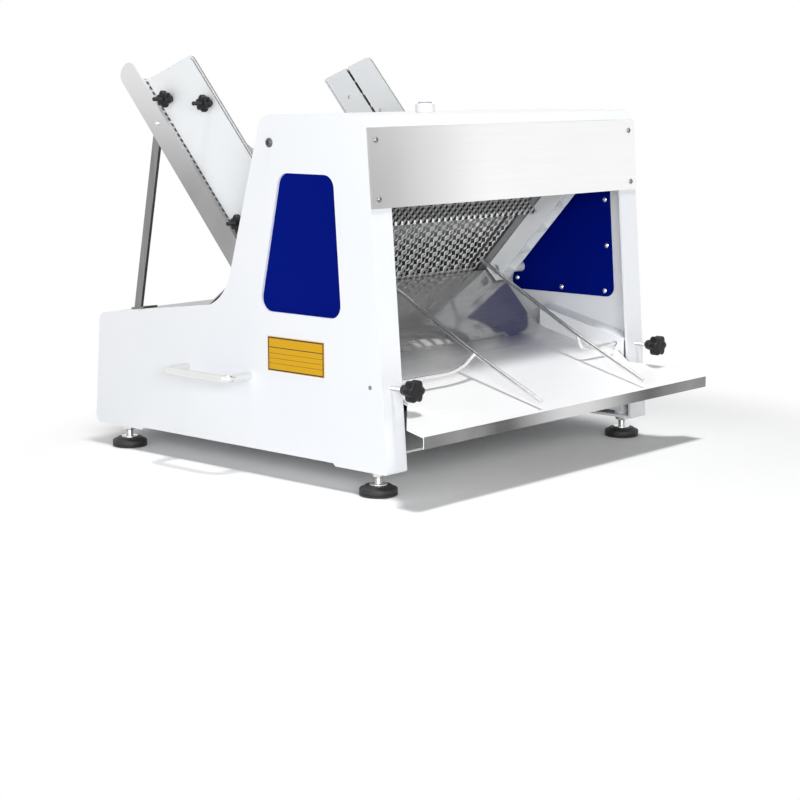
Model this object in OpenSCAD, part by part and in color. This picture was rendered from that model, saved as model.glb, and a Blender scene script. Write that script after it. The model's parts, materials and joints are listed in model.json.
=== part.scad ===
// Table-top bread slicer: inclined infeed chute, two reciprocating blade frames, outlet tray.
// Millimetres, +Z up, origin on the floor under the middle of the machine, outlet towards -Y.
// Places along Y are counted backwards from the front reference line, the top edge of the fascia.

/* [Side panels] */
// Width over the outer faces of the two side panels
machine_w = 600; // [590:5:640]
// Height of the tower tops above the floor
tower_h = 503; // [500:1:515]
// Depth of the towers at their top
tower_top_d = 195; // [192:1:205]
// Depth of each panel's folded rim
panel_depth = 40; // [39:1:44]
// Sheet thickness of the panels
panel_wall = 4; // [3:0.5:5]
// Height of the panels' lower edge above the floor
panel_clear = 33; // [31:1:36]
// Rise of the shallow arch in the lower edge
panel_arch = 4; // [2:1:5]
// Lean of the front edge, degrees
front_lean = 4.55; // [4.3:0.05:4.8]
// Lean of the towers' rear edge, degrees
tower_lean = 16.3; // [16:0.1:17]
// Reach of the base behind the front reference line
base_reach = 565; // [560:1:580]
// Height of the base at its rear corner
base_rear_h = 202; // [198:1:206]
// Fall of the base top towards the rear, degrees
base_fall = 6.9; // [6.5:0.1:7.3]
// Lean of the base's rear edge, degrees
rear_lean = 5.2; // [4:0.1:6]
// Radius between tower and base
base_fillet_r = 70; // [60:1:74]
// Reach of the rear cover's turned-up front edge
cover_lip = 42; // [36:1:46]
// Radius of the towers' top corners
tower_corner_r = 21; // [14:1:24]
// Radius of the base's rear corners
base_corner_r = 13; // [8:1:16]
// Distance of the arch's front end from the panels' front edge
arch_front = 95; // [90:1:100]
// Distance of the arch's rear end from the base's rear end
arch_rear = 105; // [100:1:110]

/* [Windows] */
// Height of the window's lower edge
window_z = 234; // [232:1:238]
// Distance of the window's upper edge below the tower tops
window_drop = 78; // [74:1:90]
// Distance of the window's lower front corner from the reference line
window_y = 46; // [42:1:50]
// Depth of the window at its lower edge
window_low_d = 157; // [150:1:160]
// Depth of the window at its upper edge
window_top_d = 101; // [95:1:105]
// Set-back of the window's upper front corner
window_set_back = 14; // [10:1:18]
// Radius of the window's corners
window_r = 18; // [12:1:22]
// Overlap of the blue plate around the window
window_lap = 20; // [17:1:21]
// Corner radius of the blue plate
plate_corner_r = 14; // [10:1:20]
// Thickness of the blue plate
window_plate_t = 2.5; // [2:0.5:3]

/* [Crossbeam] */
// Distance of the fascia's top edge below the tower tops
fascia_drop = 14.5; // [13:0.5:17]
// Height of the fascia
fascia_h = 105; // [100:1:110]
// Thickness of the fascia sheet
fascia_t = 2; // [1.5:0.5:3]
// Depth of the fascia's lower return
fascia_return = 14; // [8:1:18]
// Thickness of the white and stainless covers
cover_t = 2; // [1.5:0.5:3]
// Distance of the top cover's rear edge below the tower tops
cover_rear_drop = 104; // [85:1:118]
// Switch place to the left of the middle
switch_x = 40; // [20:1:80]
// Switch distance from the reference line
switch_y = 125; // [100:1:140]
// Radius of the switch housing
switch_r = 14; // [12:0.5:18]
// Height of the switch housing
switch_h = 12; // [10:0.5:15]
// Travel of the push button
switch_travel = 3; // [2:0.5:4]

/* [Blades] */
// Lean of the blade curtain above the horizontal, degrees
blade_lean = 47.5; // [47:0.1:48]
// Front face of the guide bars: distance from the reference line
blade_y = 180; // [178:1:182]
// Front face of the guide bars: height
blade_z = 261; // [259:1:263]
// Least room between the outermost blades and the side bars
blade_margin = 5; // [4:0.5:6]
// Spacing of neighbouring blades, front to rear set
blade_pitch = 13.4; // [12.5:0.1:13.4]
// Width of a blade
blade_w = 10; // [8:0.5:10.5]
// Thickness of a blade
blade_t = 0.7; // [0.5:0.1:1]
// Length of one scallop of the cutting edge
tooth_pitch = 9; // [8:0.5:12]
// Depth of one scallop
tooth_depth = 2; // [1:0.25:2.5]
// Stroke of each blade frame to either side of rest
half_stroke = 12; // [9:0.5:12.5]
// Thickness of a blade frame
frame_t = 12; // [11:0.5:12.5]
// Height of the frame beams along the blades
beam_h = 20; // [16:1:22]
// Lower end of the blades along the curtain
blade_low = -84; // [-88:1:-82]
// Distance of the blades' upper ends below the guide bars' upper ends
blade_drop = 98; // [94:1:102]
// Inner faces of the frame side bars from the panel rims
side_bar_in = 52; // [48:0.5:54]
// Width of the frame side bars
side_bar_w = 28; // [24:1:32]

/* [Guide bars] */
// Width of a guide bar
bar_w = 32; // [30:1:40]
// Depth of a guide bar
bar_d = 28; // [26:1:29]
// Wall of the ribbed recess
bar_wall = 6; // [5:0.5:8]
// Lower end of the guide bars along the curtain
bar_low = -39; // [-40:1:-36]
// Distance of the guide bars' upper ends below the tower tops
bar_drop = 57.7; // [56:0.1:60]
// Distance of the guide bars' upper ends behind the reference line
bar_front = 11.1; // [10:0.1:16]
// Outer lip of the ribbed recess
bar_lip = 2.5; // [2:0.5:4]
// Spacing of the ribs
rib_pitch = 48; // [40:1:60]
// Thickness of a rib
rib_t = 4; // [3:0.5:6]
// Radius of the bosses that carry the guide bars
bar_boss_r = 8; // [7:0.5:8.5]
// Distance of the upper comb fingers' lowest level below the blades' upper ends
comb_drop = 42; // [36:1:44]
// Width of a comb finger
finger_w = 7; // [5:0.5:8]
// Width of the upper comb's fingers
top_finger_w = 4; // [3:0.5:6]
// Height of the upper comb's fingers
top_finger_h = 9; // [7:0.5:12]
// Reach of the upper comb's tips in front of the blades
comb_reach = 28; // [20:1:30]

/* [Chute] */
// Slope of the chute, degrees
chute_slope = 48.6; // [48.3:0.1:48.9]
// Level of the chute floor along the curtain
floor_t = -35; // [-36:0.5:-34]
// Length of the chute's cheeks above the blades
chute_len = 410; // [395:1:415]
// Length of the chute floor beside its hand notch
floor_len = 370; // [355:1:380]
// Length of the chute floor below its hand notch
notch_s = 225; // [200:1:235]
// Width of the chute floor beside the hand notch
notch_side = 131; // [129:1:140]
// Gap between the chute's cheeks and the panel rims
chute_gap = 1; // [0.5:0.5:3]
// Sheet thickness of the chute
chute_t = 2; // [1.5:0.5:2.5]
// Height of the turned-down cheeks
cheek_h = 36; // [32:1:38]
// Rounding of the cheeks' upper ends
cheek_r = 15; // [10:1:16]
// Inner face of the left bread guide from the chute's outer face
left_guide_in = 15; // [15:1:25]
// Inner face of the right bread guide from the chute's outer face
right_guide_in = 129; // [80:1:129]
// Height of the bread guides above the floor
guide_h = 96; // [92:1:100]
// Height of the lower guide plate
guide_split = 46; // [42:1:48]
// Gap between the lower and the upper guide plate
guide_gap = 3; // [2:0.5:4]
// Thickness of the guide plates and of their backing plate
guide_t = 3; // [2:0.5:3]
// Length of the guide plates along the floor
guide_len = 366; // [350:1:372]
// Skew of the guides' upper end, degrees
guide_skew = 21; // [15:1:25]
// Places of the guide pegs along the chute
peg_s = [69, 287];
// Level of the lower studs above the floor
stud_low = 22; // [20:1:24]
// Level of the upper studs above the floor
stud_high = 82; // [76:1:84]
// Height of the right guide's upper studs above the floor
right_stud_high = 60; // [56:1:64]
// Places of the lower studs along the chute
stud_low_s = [82, 312];
// Places of the upper studs along the chute
stud_high_s = [34, 252];
// Radius of the threaded studs
stud_r = 3; // [2.5:0.25:3.5]
// Free length of the studs behind the guide
stud_len = 34; // [32:1:36]
// Width of the struts
strut_w = 15; // [12:1:18]
// Thickness of the struts
strut_t = 5; // [4:0.5:6]
// Place of the strut's upper screw along the chute
strut_s = 300; // [290:1:310]
// Distance of the strut's foot from the base's rear end
strut_in = 52; // [48:1:62]

/* [Outlet] */
// Slope of the outlet slide behind the bend, degrees
slide_slope = 47; // [46.5:0.1:47.5]
// Slope of the tray, degrees
tray_slope = 13.4; // [13:0.1:14]
// Reach of the tray in front of the reference line
tray_reach = 124; // [118:1:130]
// Height of the tray's front edge
tray_z = 101; // [100:1:103]
// Overhang of the tray's front edge beyond the panels
tray_over = 29; // [15:1:35]
// Depth of the tray's widest strip along its front edge
tray_strip = 28; // [20:1:40]
// Height of the tray's front lip
lip_h = 16; // [12:1:20]
// Thickness of the outlet sheets
outlet_t = 1.5; // [1:0.25:2]
// Radius of the bend in the slide
slide_r = 90; // [70:1:100]
// Distance of the joint between slide and tray from the reference line
tray_joint = 60; // [50:1:64]
// Height of the tray's side flanges
tray_flange = 11; // [8:1:12]
// Distance of the skirts' inner faces from the panel rims
skirt_in = 3; // [2.5:0.5:4]
// Height of the skirts' ledge above the tray
ledge_rise = 31; // [30.5:0.5:33]
// Rear end of the skirts from the reference line
skirt_rear = 140; // [130:1:145]

/* [Wire guides] */
// Radius of the bent wire and its cross rod
wire_r = 3; // [2.5:0.25:3.5]
// Cross rod distance in front of the reference line
rod_y = 5.6; // [4:0.1:7]
// Height of the cross rods
rod_z = 148; // [146:1:149]
// Place of the left wire from its panel's outer face
left_wire_in = 223; // [180:1:230]
// Place of the right wire from its panel's outer face
right_wire_in = 132; // [125:1:150]
// Height of the wires' lower ends above the tray
wire_rise = 12; // [9:1:14]
// Length of the left wire's rising brace
left_brace = 75; // [60:1:80]
// Length of the right wire's rising brace
right_brace = 10; // [8:1:20]
// Clamp knob distance from the panel's outer face
clamp_in = 18; // [14:1:22]
// Reach of the clamp knobs in front of the reference line
clamp_reach = 75; // [70:1:80]
// Radius of the boss behind the clamp knob's thread
clamp_neck_r = 5.6; // [5:0.1:5.8]

/* [Knobs] */
// Core radius of the bread guide knobs
knob_core_r = 8.8; // [7.5:0.1:9]
// Lobe radius of the bread guide knobs
knob_lobe_r = 3.8; // [3:0.1:4]
// Thickness of the bread guide knobs' heads
knob_head_h = 11; // [9:0.5:12]
// Height of the bread guide knobs' hubs
knob_hub_h = 8; // [6:0.5:9]
// Core radius of the clamp knobs
clamp_core_r = 11; // [9:0.5:12]
// Lobe radius of the clamp knobs
clamp_lobe_r = 4.8; // [4:0.2:5.5]
// Thickness of the clamp knobs' heads
clamp_head_h = 16; // [12:0.5:18]
// Height of the clamp knobs' hubs
clamp_hub_h = 11; // [8:0.5:12]
// Number of lobes
knob_lobes = 6; // [5:1:7]

/* [Feet and handles] */
// Feet distance from the panels' outer faces
foot_in = 18; // [17:1:20]
// Front feet distance in front of the reference line
foot_front = 4; // [2:1:6]
// Rear feet distance from the base's rear end
foot_rear = 57; // [50:1:65]
// Radius of the rubber pads
foot_pad_r = 26; // [22:1:30]
// Height of the rubber pads
foot_pad_h = 14; // [11:1:16]
// Radius of the foot studs
foot_stud_r = 6; // [5:0.5:6]
// Height of the foot studs' upper end
foot_stud_top = 66; // [62:1:70]
// Radius of the handle rod
handle_r = 5.5; // [5:0.25:6.5]
// Distance between the handle's legs
handle_span = 130; // [120:1:140]
// Reach of the handle's middle line out of the panel
handle_out = 46; // [40:1:50]
// Height of the handles
handle_z = 140; // [135:1:145]
// Distance of the handle's middle from the reference line
handle_y = 288; // [280:1:295]
// Bend radius of the handles
handle_bend = 14; // [12:1:18]
// Width of the rating plate
plate_w = 108; // [100:1:112]
// Height of the rating plate
plate_h = 48; // [44:1:52]
// Distance of the rating plate's middle from the reference line
plate_y = 132; // [130:1:136]
// Height of the rating plate's middle
plate_z = 176; // [174:1:178]

/* [Drive] */
// Length of the connecting rods between eyes
rod_len = 100; // [96:1:104]
// Thickness of the connecting rods
rod_t = 14; // [10:1:16]
// Radius of the crankshaft
crank_r = 10; // [9:0.5:11]
// Half length of the crankshaft between its discs
crank_half = 100; // [92:1:104]
// Thickness of the crank discs
crank_disc_t = 12; // [10:1:14]
// Radius of the crank discs
crank_disc_r = 28; // [26:1:30]
// Half distance between the bearings
bearing_x = 60; // [55:1:66]
// Groove radius of the driven pulley
driven_groove_r = 46; // [42:1:48]
// Groove radius of the motor pulley
motor_groove_r = 20; // [18:1:24]
// Width of the pulleys
pulley_w = 18; // [16:1:20]
// Distance of the motor shaft in front of the crankshaft
motor_ahead = 106; // [104:1:112]
// Height of the motor shaft
motor_z = 108; // [105:1:112]
// Radius of the motor body
motor_r = 52; // [46:1:54]
// Length of the motor body
motor_len = 160; // [140:1:170]

/* [Clearances] */
// Radial clearance of turning and sliding fits
run_gap = 0.05; // [0.03:0.01:0.08]
// Gap between pieces that pass one another
pass_gap = 0.4; // [0.3:0.05:0.5]
// Radial clearance of screws in their holes
screw_gap = 0.15; // [0.1:0.05:0.2]

/* [Hidden] */
$fn = 48;

eps = 0.01;
half_w = machine_w / 2;
rim_x = half_w - panel_depth;
wall_x = half_w - panel_wall;
fascia_top = tower_h - fascia_drop;
foot_x = half_w - foot_in;
clamp_x = half_w - clamp_in;

// Colours as the photo shows them
white_paint = [0.93, 0.94, 0.95];
navy = [0.03, 0.05, 0.42];
stainless = [0.74, 0.74, 0.73];
black = [0.06, 0.06, 0.06];
chrome = [0.82, 0.82, 0.83];
cast_grey = [0.45, 0.46, 0.47];
gold = [0.86, 0.66, 0.12];
dark_steel = [0.22, 0.22, 0.23];

// Outlines as lists of [y, z, corner radius], counter-clockwise
function unit(v) = v / norm(v);
function flat(v) = [v[0], v[1]];
function turn(a, b) = a[0] * b[1] - a[1] * b[0];
function left_of(v) = [-v[1], v[0]];

function corner_arc(a, b, c, r, n = 8) =
    let (u = unit(a - b),
         v = unit(c - b),
         half = acos(max(-1, min(1, u * v))) / 2,
         mid = b + unit(u + v) * r / sin(half),
         p = b + u * r / tan(half) - mid,
         q = b + v * r / tan(half) - mid,
         a0 = atan2(p[1], p[0]),
         sweep = (atan2(q[1], q[0]) - a0 + 540) % 360 - 180)
    [for (i = [0:n]) mid + r * [cos(a0 + sweep * i / n), sin(a0 + sweep * i / n)]];

function rounded(pts) =
    let (n = len(pts))
    [for (i = [0:n - 1])
        let (a = flat(pts[(i + n - 1) % n]), b = flat(pts[i]), c = flat(pts[(i + 1) % n]))
        each pts[i][2] > 0 ? corner_arc(a, b, c, pts[i][2]) : [b]];

function inset(pts, w) =
    let (n = len(pts))
    [for (i = [0:n - 1])
        let (b = flat(pts[i]),
             e1 = unit(b - flat(pts[(i + n - 1) % n])),
             e2 = unit(flat(pts[(i + 1) % n]) - b),
             n1 = left_of(e1),
             n2 = left_of(e2),
             p = b + w * (n1 + n2) / (1 + n1 * n2),
             r = turn(e1, e2) > 0 ? pts[i][2] - w : pts[i][2] + w)
        [p[0], p[1], max(0.5, r)]];

// Panel outline
function front_at(z) = (z - fascia_top) * tan(front_lean);
function rear_at(z) = base_reach - (z - panel_clear) * tan(rear_lean);
base_rear_y = rear_at(base_rear_h);
function base_top_at(y) = base_rear_h + (base_rear_y - y) * tan(base_fall);
tower_rear_y = front_at(tower_h) + tower_top_d;
function tower_rear_at(z) = tower_rear_y + (tower_h - z) * tan(tower_lean);
nook_y = (tower_rear_y + tan(tower_lean) * (tower_h - base_rear_h - base_rear_y * tan(base_fall)))
    / (1 - tan(tower_lean) * tan(base_fall));
arch_y = [front_at(panel_clear) + arch_front, base_reach - arch_rear];
outline = [
    [front_at(panel_clear), panel_clear, 3],
    [arch_y[0], panel_clear, 0],
    [arch_y[0] + panel_arch, panel_clear + panel_arch, 0],
    [arch_y[1] - panel_arch, panel_clear + panel_arch, 0],
    [arch_y[1], panel_clear, 0],
    [base_reach, panel_clear, base_corner_r],
    [base_rear_y, base_rear_h, base_corner_r],
    [nook_y, base_top_at(nook_y), base_fillet_r],
    [tower_rear_y, tower_h, tower_corner_r],
    [front_at(tower_h), tower_h, tower_corner_r]];
rear_reach = max([for (p = rounded(outline)) p[0]]);
y_shift = (tray_reach + outlet_t - rear_reach) / 2;
window = [
    [window_y, window_z, window_r],
    [window_y + window_low_d, window_z, window_r],
    [window_y + window_set_back + window_top_d, tower_h - window_drop, window_r],
    [window_y + window_set_back, tower_h - window_drop, window_r]];

// Blade curtain space: [x, depth behind the guide bars' front face, distance up the curtain]
function curtain_y(d, t) = blade_y + d * sin(blade_lean) - t * cos(blade_lean);
function curtain_z(d, t) = blade_z + d * cos(blade_lean) + t * sin(blade_lean);
front_d = bar_d + pass_gap;
rear_d = front_d + frame_t + 2 * pass_gap;
stack_d = rear_d + frame_t;
chute_d = stack_d + 2;
chute_y = curtain_y(chute_d, floor_t);
chute_z = curtain_z(chute_d, floor_t);
bar_high = min((tower_h - bar_drop - blade_z) / sin(blade_lean),
    (blade_y - bar_front) / cos(blade_lean));
blade_high = bar_high - blade_drop;
comb_low = blade_high - comb_drop;
side_bar_x = rim_x - side_bar_in;
side_bar_out = side_bar_x + side_bar_w;
front_blades_n = floor((side_bar_x - blade_margin) / blade_pitch) + 1;
blade_span = (front_blades_n - 1) * 2 * blade_pitch;
bar_in = rim_x - bar_w;
boss_t = [bar_low + 12, bar_high - 11];
boss_d = bar_d / 2;

// Chute space: [x, distance up the floor, height above the floor]
function on_chute_y(s, p) = chute_y + s * cos(chute_slope) - p * sin(chute_slope);
function on_chute_z(s, p) = chute_z + s * sin(chute_slope) + p * cos(chute_slope);
chute_boss = [-10, -8];
chute_boss_y = on_chute_y(chute_boss[0], chute_boss[1]);
chute_boss_z = on_chute_z(chute_boss[0], chute_boss[1]);
chute_boss_r = 9;
chute_half = rim_x - chute_gap;
cheek_in = chute_half - chute_t;
notch_half = chute_half - notch_side;
left_guide_x = chute_half - left_guide_in;
right_guide_x = chute_half - right_guide_in;
guide_reach = left_guide_x - notch_half - 2;
peg_r = 3.9;
peg_x = guide_t;
strut_y = base_reach - strut_in;

// Outlet profile
slide_top = [curtain_y(bar_d - 1.5, bar_low - 2), curtain_z(bar_d - 1.5, bar_low - 2)];
function tray_at(y) = tray_z + (y + tray_reach) * tan(tray_slope);
slide_bend_y = (slide_top[1] - slide_top[0] * tan(slide_slope) - tray_at(0))
    / (tan(tray_slope) - tan(slide_slope));
slide_bend = [slide_bend_y, tray_at(slide_bend_y)];
function ledge_at(y) = tray_at(y) + ledge_rise;
skirt_front = front_at(rod_z + ledge_rise / 2) + panel_wall + pass_gap;
skirt_half = rim_x - skirt_in;
tray_half = skirt_half - pass_gap;
tray_front_half = half_w + tray_over;

// Drive places along the curtain
eye_r = 11;
wrist_t = blade_low - beam_h - 2 * half_stroke - eye_r - 1;
crank_d = (front_d + stack_d) / 2;
crank_t = wrist_t - rod_len;
crank_y = curtain_y(crank_d, crank_t);
crank_z = curtain_z(crank_d, crank_t);
motor_y = crank_y - motor_ahead;
pin_len = 4;
rod_x = crank_half + crank_disc_t + pin_len + 0.3;
lug_x = rod_x + rod_t + pass_gap;
lug_t = 10;
wrist_r = 5;
pan_z = panel_clear + panel_arch + panel_wall;
pan_t = 3;

// Fasteners
screw_r = 2;
screw_head_r = 4;
screw_head_h = 2.4;
bolt_r = 4;

module machine() { translate([0, y_shift, 0]) children(); }
module curtain() {
    translate([0, blade_y, blade_z]) rotate([90 - blade_lean, 0, 0]) children();
}
module chute() { translate([0, chute_y, chute_z]) rotate([chute_slope, 0, 0]) children(); }
// Turns a [y, z] outline into a plate from x to x + t
module across(x, t) { translate([x, 0, 0]) rotate([90, 0, 90]) linear_extrude(t) children(); }
// A plate centred on the middle plane
module spanning(half) { across(-half, 2 * half) children(); }
module along_x(x, y, z) { translate([x, y, z]) rotate([0, 90, 0]) children(); }
module sides() {
    children();
    mirror([1, 0, 0]) children();
}

// A rod through a chain of points, with round elbows
module bent_rod(pts, r) {
    for (i = [0:len(pts) - 2]) {
        v = pts[i + 1] - pts[i];
        translate(pts[i])
            rotate([0, acos(v[2] / norm(v)), atan2(v[1], v[0])])
                cylinder(r = r, h = norm(v));
    }
    for (i = [1:1:len(pts) - 2])
        translate(pts[i]) sphere(r = r * 1.04);
}

// Button-head screw: head above z = 0, shank below
module screw(shank, r = screw_r, head_r = screw_head_r, head_h = screw_head_h) {
    difference() {
        union() {
            rotate_extrude()
                polygon([[0, 0], [head_r, 0], [head_r, head_h * 0.35], [head_r * 0.55, head_h], [0, head_h]]);
            translate([0, 0, -shank]) cylinder(r = r, h = shank + eps);
        }
        translate([0, 0, head_h * 0.45]) cylinder(r = r * 0.7, h = head_h, $fn = 6);
    }
}

// Star knob on +Z: hub at z = 0, head above it
module star_knob(core_r, lobe_r, hub_h, head_h) {
    lobe_step = head_h / 20;
    cylinder(r1 = core_r * 0.55, r2 = core_r * 0.82, h = hub_h + head_h / 2);
    translate([0, 0, hub_h]) {
        cylinder(r = core_r, h = head_h);
        for (i = [0:knob_lobes - 1])
            rotate(i * 360 / knob_lobes)
                translate([core_r, 0, lobe_step]) cylinder(r = lobe_r, h = head_h - 2 * lobe_step);
    }
}

// Side panels
fascia_screw_x = half_w - 15;
fascia_screw_z = [fascia_top - 16, fascia_top - fascia_h + 12];
tie_place = [tower_rear_at(tower_h - 38) - 28, tower_h - 38];
tie_r = 10;
foot_places = [-foot_front, base_reach - foot_rear];
foot_boss_r = 12;
foot_boss_h = 20;
clamp_boss_r = 9;
nut_h = 7;
nut_r = 10;
handle_tail = panel_wall + 8;
handle_tail_r = 3;

function plate_screws(pts) =
    let (n = len(pts))
    [for (i = [0:n - 1])
        let (a = flat(pts[i]), b = flat(pts[(i + 1) % n]), m = i % 2 == 0 ? 2 : 3)
        for (k = [0:m - 1]) a + (b - a) * (k == 0 ? 0.04 : k / m)];
screw_ring = plate_screws(inset(window, -window_lap * 0.55));

module side_panel() {
    difference() {
        union() {
            difference() {
                across(rim_x, panel_depth) polygon(rounded(outline));
                across(rim_x - 1, panel_depth - panel_wall + 1)
                    polygon(rounded(inset(outline, panel_wall)));
            }
            for (y = foot_places)
                translate([foot_x, y, panel_clear + panel_wall - eps])
                    cylinder(r = foot_boss_r, h = foot_boss_h);
            for (t = boss_t)
                along_x(rim_x, curtain_y(boss_d, t), curtain_z(boss_d, t))
                    cylinder(r = bar_boss_r, h = panel_depth - panel_wall + eps);
            along_x(chute_half, chute_boss_y, chute_boss_z)
                cylinder(r = chute_boss_r, h = half_w - panel_wall - chute_half + eps);
            along_x(rim_x, -rod_y, rod_z) cylinder(r = clamp_boss_r, h = panel_depth - panel_wall + eps);
            translate([clamp_x, front_at(rod_z) + panel_wall / 2, rod_z])
                rotate([-90, 0, 0])
                    cylinder(r = clamp_neck_r, h = -rod_y - front_at(rod_z) - panel_wall / 2);
        }
        across(wall_x - 1, panel_wall + 2) polygon(rounded(window));
        for (y = foot_places)
            translate([foot_x, y, 0]) cylinder(r = foot_stud_r + run_gap, h = panel_clear + foot_boss_h + 20);
        along_x(rim_x - 1, -rod_y, rod_z) cylinder(r = wire_r + run_gap, h = panel_depth + 2);
        translate([clamp_x, -rod_y, rod_z])
            rotate([90, 0, 0]) cylinder(r = stud_r + run_gap, h = clamp_reach);
        for (side = [-0.5, 0.5])
            along_x(wall_x - 1, handle_y + side * handle_span, handle_z)
                cylinder(r = handle_tail_r + screw_gap, h = panel_wall + 2);
        along_x(wall_x - 1, tie_place[0], tie_place[1]) cylinder(r = bolt_r + screw_gap, h = panel_wall + 2);
        for (p = screw_ring)
            along_x(wall_x - 1, p[0], p[1]) cylinder(r = screw_r + screw_gap, h = panel_wall - 0.5);
        for (z = fascia_screw_z)
            translate([fascia_screw_x, front_at(z), z])
                rotate([90 - front_lean, 0, 0])
                    translate([0, 0, -panel_wall - 1]) cylinder(r = screw_r + screw_gap, h = panel_wall + 2);
        for (t = boss_t)
            along_x(rim_x - 1, curtain_y(boss_d, t), curtain_z(boss_d, t))
                cylinder(r = bolt_r + screw_gap, h = 20);
        along_x(chute_half - 1, chute_boss_y, chute_boss_z)
            cylinder(r = screw_r + screw_gap, h = 16);
    }
}
module right_side_panel() { color(white_paint) machine() side_panel(); }
module left_side_panel() { color(white_paint) machine() mirror([1, 0, 0]) side_panel(); }

module window_plate() {
    difference() {
        across(wall_x - window_plate_t, window_plate_t)
            polygon(rounded([for (p = inset(window, -window_lap)) [p[0], p[1], plate_corner_r]]));
        for (p = screw_ring)
            along_x(wall_x - window_plate_t - 1, p[0], p[1])
                cylinder(r = screw_r + screw_gap, h = window_plate_t + 2);
        for (t = boss_t)
            along_x(wall_x - window_plate_t - 1, curtain_y(boss_d, t), curtain_z(boss_d, t))
                cylinder(r = bar_boss_r + 0.8, h = window_plate_t + 2);
    }
}
module right_window_plate() { color(navy) machine() window_plate(); }
module left_window_plate() { color(navy) machine() mirror([1, 0, 0]) window_plate(); }

module panel_screws() {
    color(chrome) machine() sides() {
        for (p = screw_ring)
            translate([wall_x - window_plate_t, p[0], p[1]])
                rotate([0, -90, 0]) screw(window_plate_t + panel_wall - 2);
        for (z = fascia_screw_z)
            translate([fascia_screw_x, front_at(z), z])
                rotate([90 - front_lean, 0, 0])
                    translate([0, 0, fascia_t]) screw(fascia_t + panel_wall - 1);
    }
}

// Crossbeam
module front_fascia() {
    lean_t = fascia_t / cos(front_lean);
    low = fascia_top - fascia_h;
    color(stainless) machine() difference() {
        union() {
            spanning(half_w)
                polygon([[front_at(low) - lean_t, low], [front_at(low), low],
                    [front_at(fascia_top), fascia_top], [front_at(fascia_top) - lean_t, fascia_top]]);
            spanning(rim_x - pass_gap)
                translate([front_at(low) - eps, low]) square([fascia_return, fascia_t]);
        }
        sides() for (z = fascia_screw_z)
            translate([fascia_screw_x, front_at(z), z])
                rotate([90 - front_lean, 0, 0])
                    translate([0, 0, -2]) cylinder(r = screw_r + screw_gap, h = fascia_t + 4);
    }
}

// A sheet that follows the panels' outline between the two rims
module outline_sheet() {
    difference() {
        spanning(rim_x) polygon(rounded(outline));
        spanning(rim_x + 1) polygon(rounded(inset(outline, cover_t)));
    }
}

module top_cover() {
    mid = tower_top_d / 2;
    far = base_reach + 50;
    color(white_paint) machine() intersection() {
        outline_sheet();
        spanning(half_w)
            polygon([[-50, fascia_top], [mid, fascia_top], [mid, tower_h - cover_rear_drop], [far, tower_h - cover_rear_drop],
                [far, tower_h + 50], [-50, tower_h + 50]]);
    }
}

module tower_tie_bar() {
    color(dark_steel) machine() difference() {
        along_x(-wall_x, tie_place[0], tie_place[1]) cylinder(r = tie_r, h = 2 * wall_x);
        sides() along_x(wall_x - 30, tie_place[0], tie_place[1]) cylinder(r = bolt_r + screw_gap, h = 31);
    }
}

module tie_bolts() {
    color(black) machine() sides()
        along_x(half_w, tie_place[0], tie_place[1]) screw(panel_wall + 24, bolt_r, bolt_r * 1.6, 3);
}

button_r = switch_r - 4;
module switch_housing() {
    color(white_paint) machine() translate([-switch_x, switch_y, tower_h]) difference() {
        cylinder(r = switch_r, h = switch_h);
        translate([0, 0, 0.6]) cylinder(r = button_r + 5 * run_gap, h = switch_h);
    }
}
module switch_button() {
    color(white_paint) machine() translate([-switch_x, switch_y, tower_h + 1 + switch_travel])
        cylinder(r = button_r, h = switch_h + 1.5 - switch_travel);
}

// Base
module base_pan() {
    color(stainless) machine()
        translate([-rim_x - 6, 20, pan_z]) cube([2 * (rim_x + 6), base_reach - 40, pan_t]);
}

gland_in = 120;
gland_x = half_w - gland_in;
gland_z = 90;
gland_r = 9;
rear_cover_y = nook_y + base_fillet_r * 1.08;
module rear_cover() {
    low = pan_z + pan_t;
    far = base_reach + 20;
    hem = [rear_cover_y, base_top_at(rear_cover_y)];
    rise = [-cover_lip, cover_lip * 0.76];
    color(stainless) machine() difference() {
        union() {
            intersection() {
                outline_sheet();
                spanning(half_w)
                    polygon([[rear_cover_y, low], [far, low], [far, tower_h], [rear_cover_y, tower_h]]);
            }
            spanning(rim_x)
                polygon([hem + [1, -cover_t + 0.2], hem + [1, -0.3], hem + rise, hem + rise - [0.6, 0.8] * cover_t,
                    hem - [0, cover_t - 0.3]]);
        }
        translate([-gland_x, rear_at(gland_z) - 20, gland_z])
            rotate([-90, 0, 0]) cylinder(r = gland_r + screw_gap, h = 40);
    }
}

module cable_gland() {
    inner = rear_at(gland_z) - cover_t - 8;
    outer = rear_at(gland_z - gland_r - 2) + 0.3;
    color(black) machine() translate([-gland_x, inner, gland_z]) rotate([-90, 0, 0]) difference() {
        union() {
            cylinder(r = gland_r + 4, h = 6);
            cylinder(r = gland_r, h = outer - inner + 2);
            translate([0, 0, outer - inner]) cylinder(r = gland_r + 1.5, h = 2);
        }
        translate([0, 0, -1]) cylinder(r = 4, h = 60);
    }
}

// Outlet
module outlet_skirts() {
    plate_x = skirt_half;
    color(white_paint) machine() sides() difference() {
        union() {
            across(plate_x, cover_t)
                polygon([[skirt_front, pan_z + pan_t], [skirt_rear, pan_z + pan_t],
                    [skirt_rear, ledge_at(skirt_rear)], [skirt_front, ledge_at(skirt_front)]]);
            across(plate_x, wall_x - plate_x)
                polygon([for (q = [[skirt_front, -cover_t], [skirt_rear, -cover_t], [skirt_rear, 0],
                    [skirt_front, 0]]) [q[0], ledge_at(q[0]) + q[1]]]);
        }
        along_x(plate_x - 1, -rod_y, rod_z) cylinder(r = wire_r + 1, h = cover_t + 2);
    }
}

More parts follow.
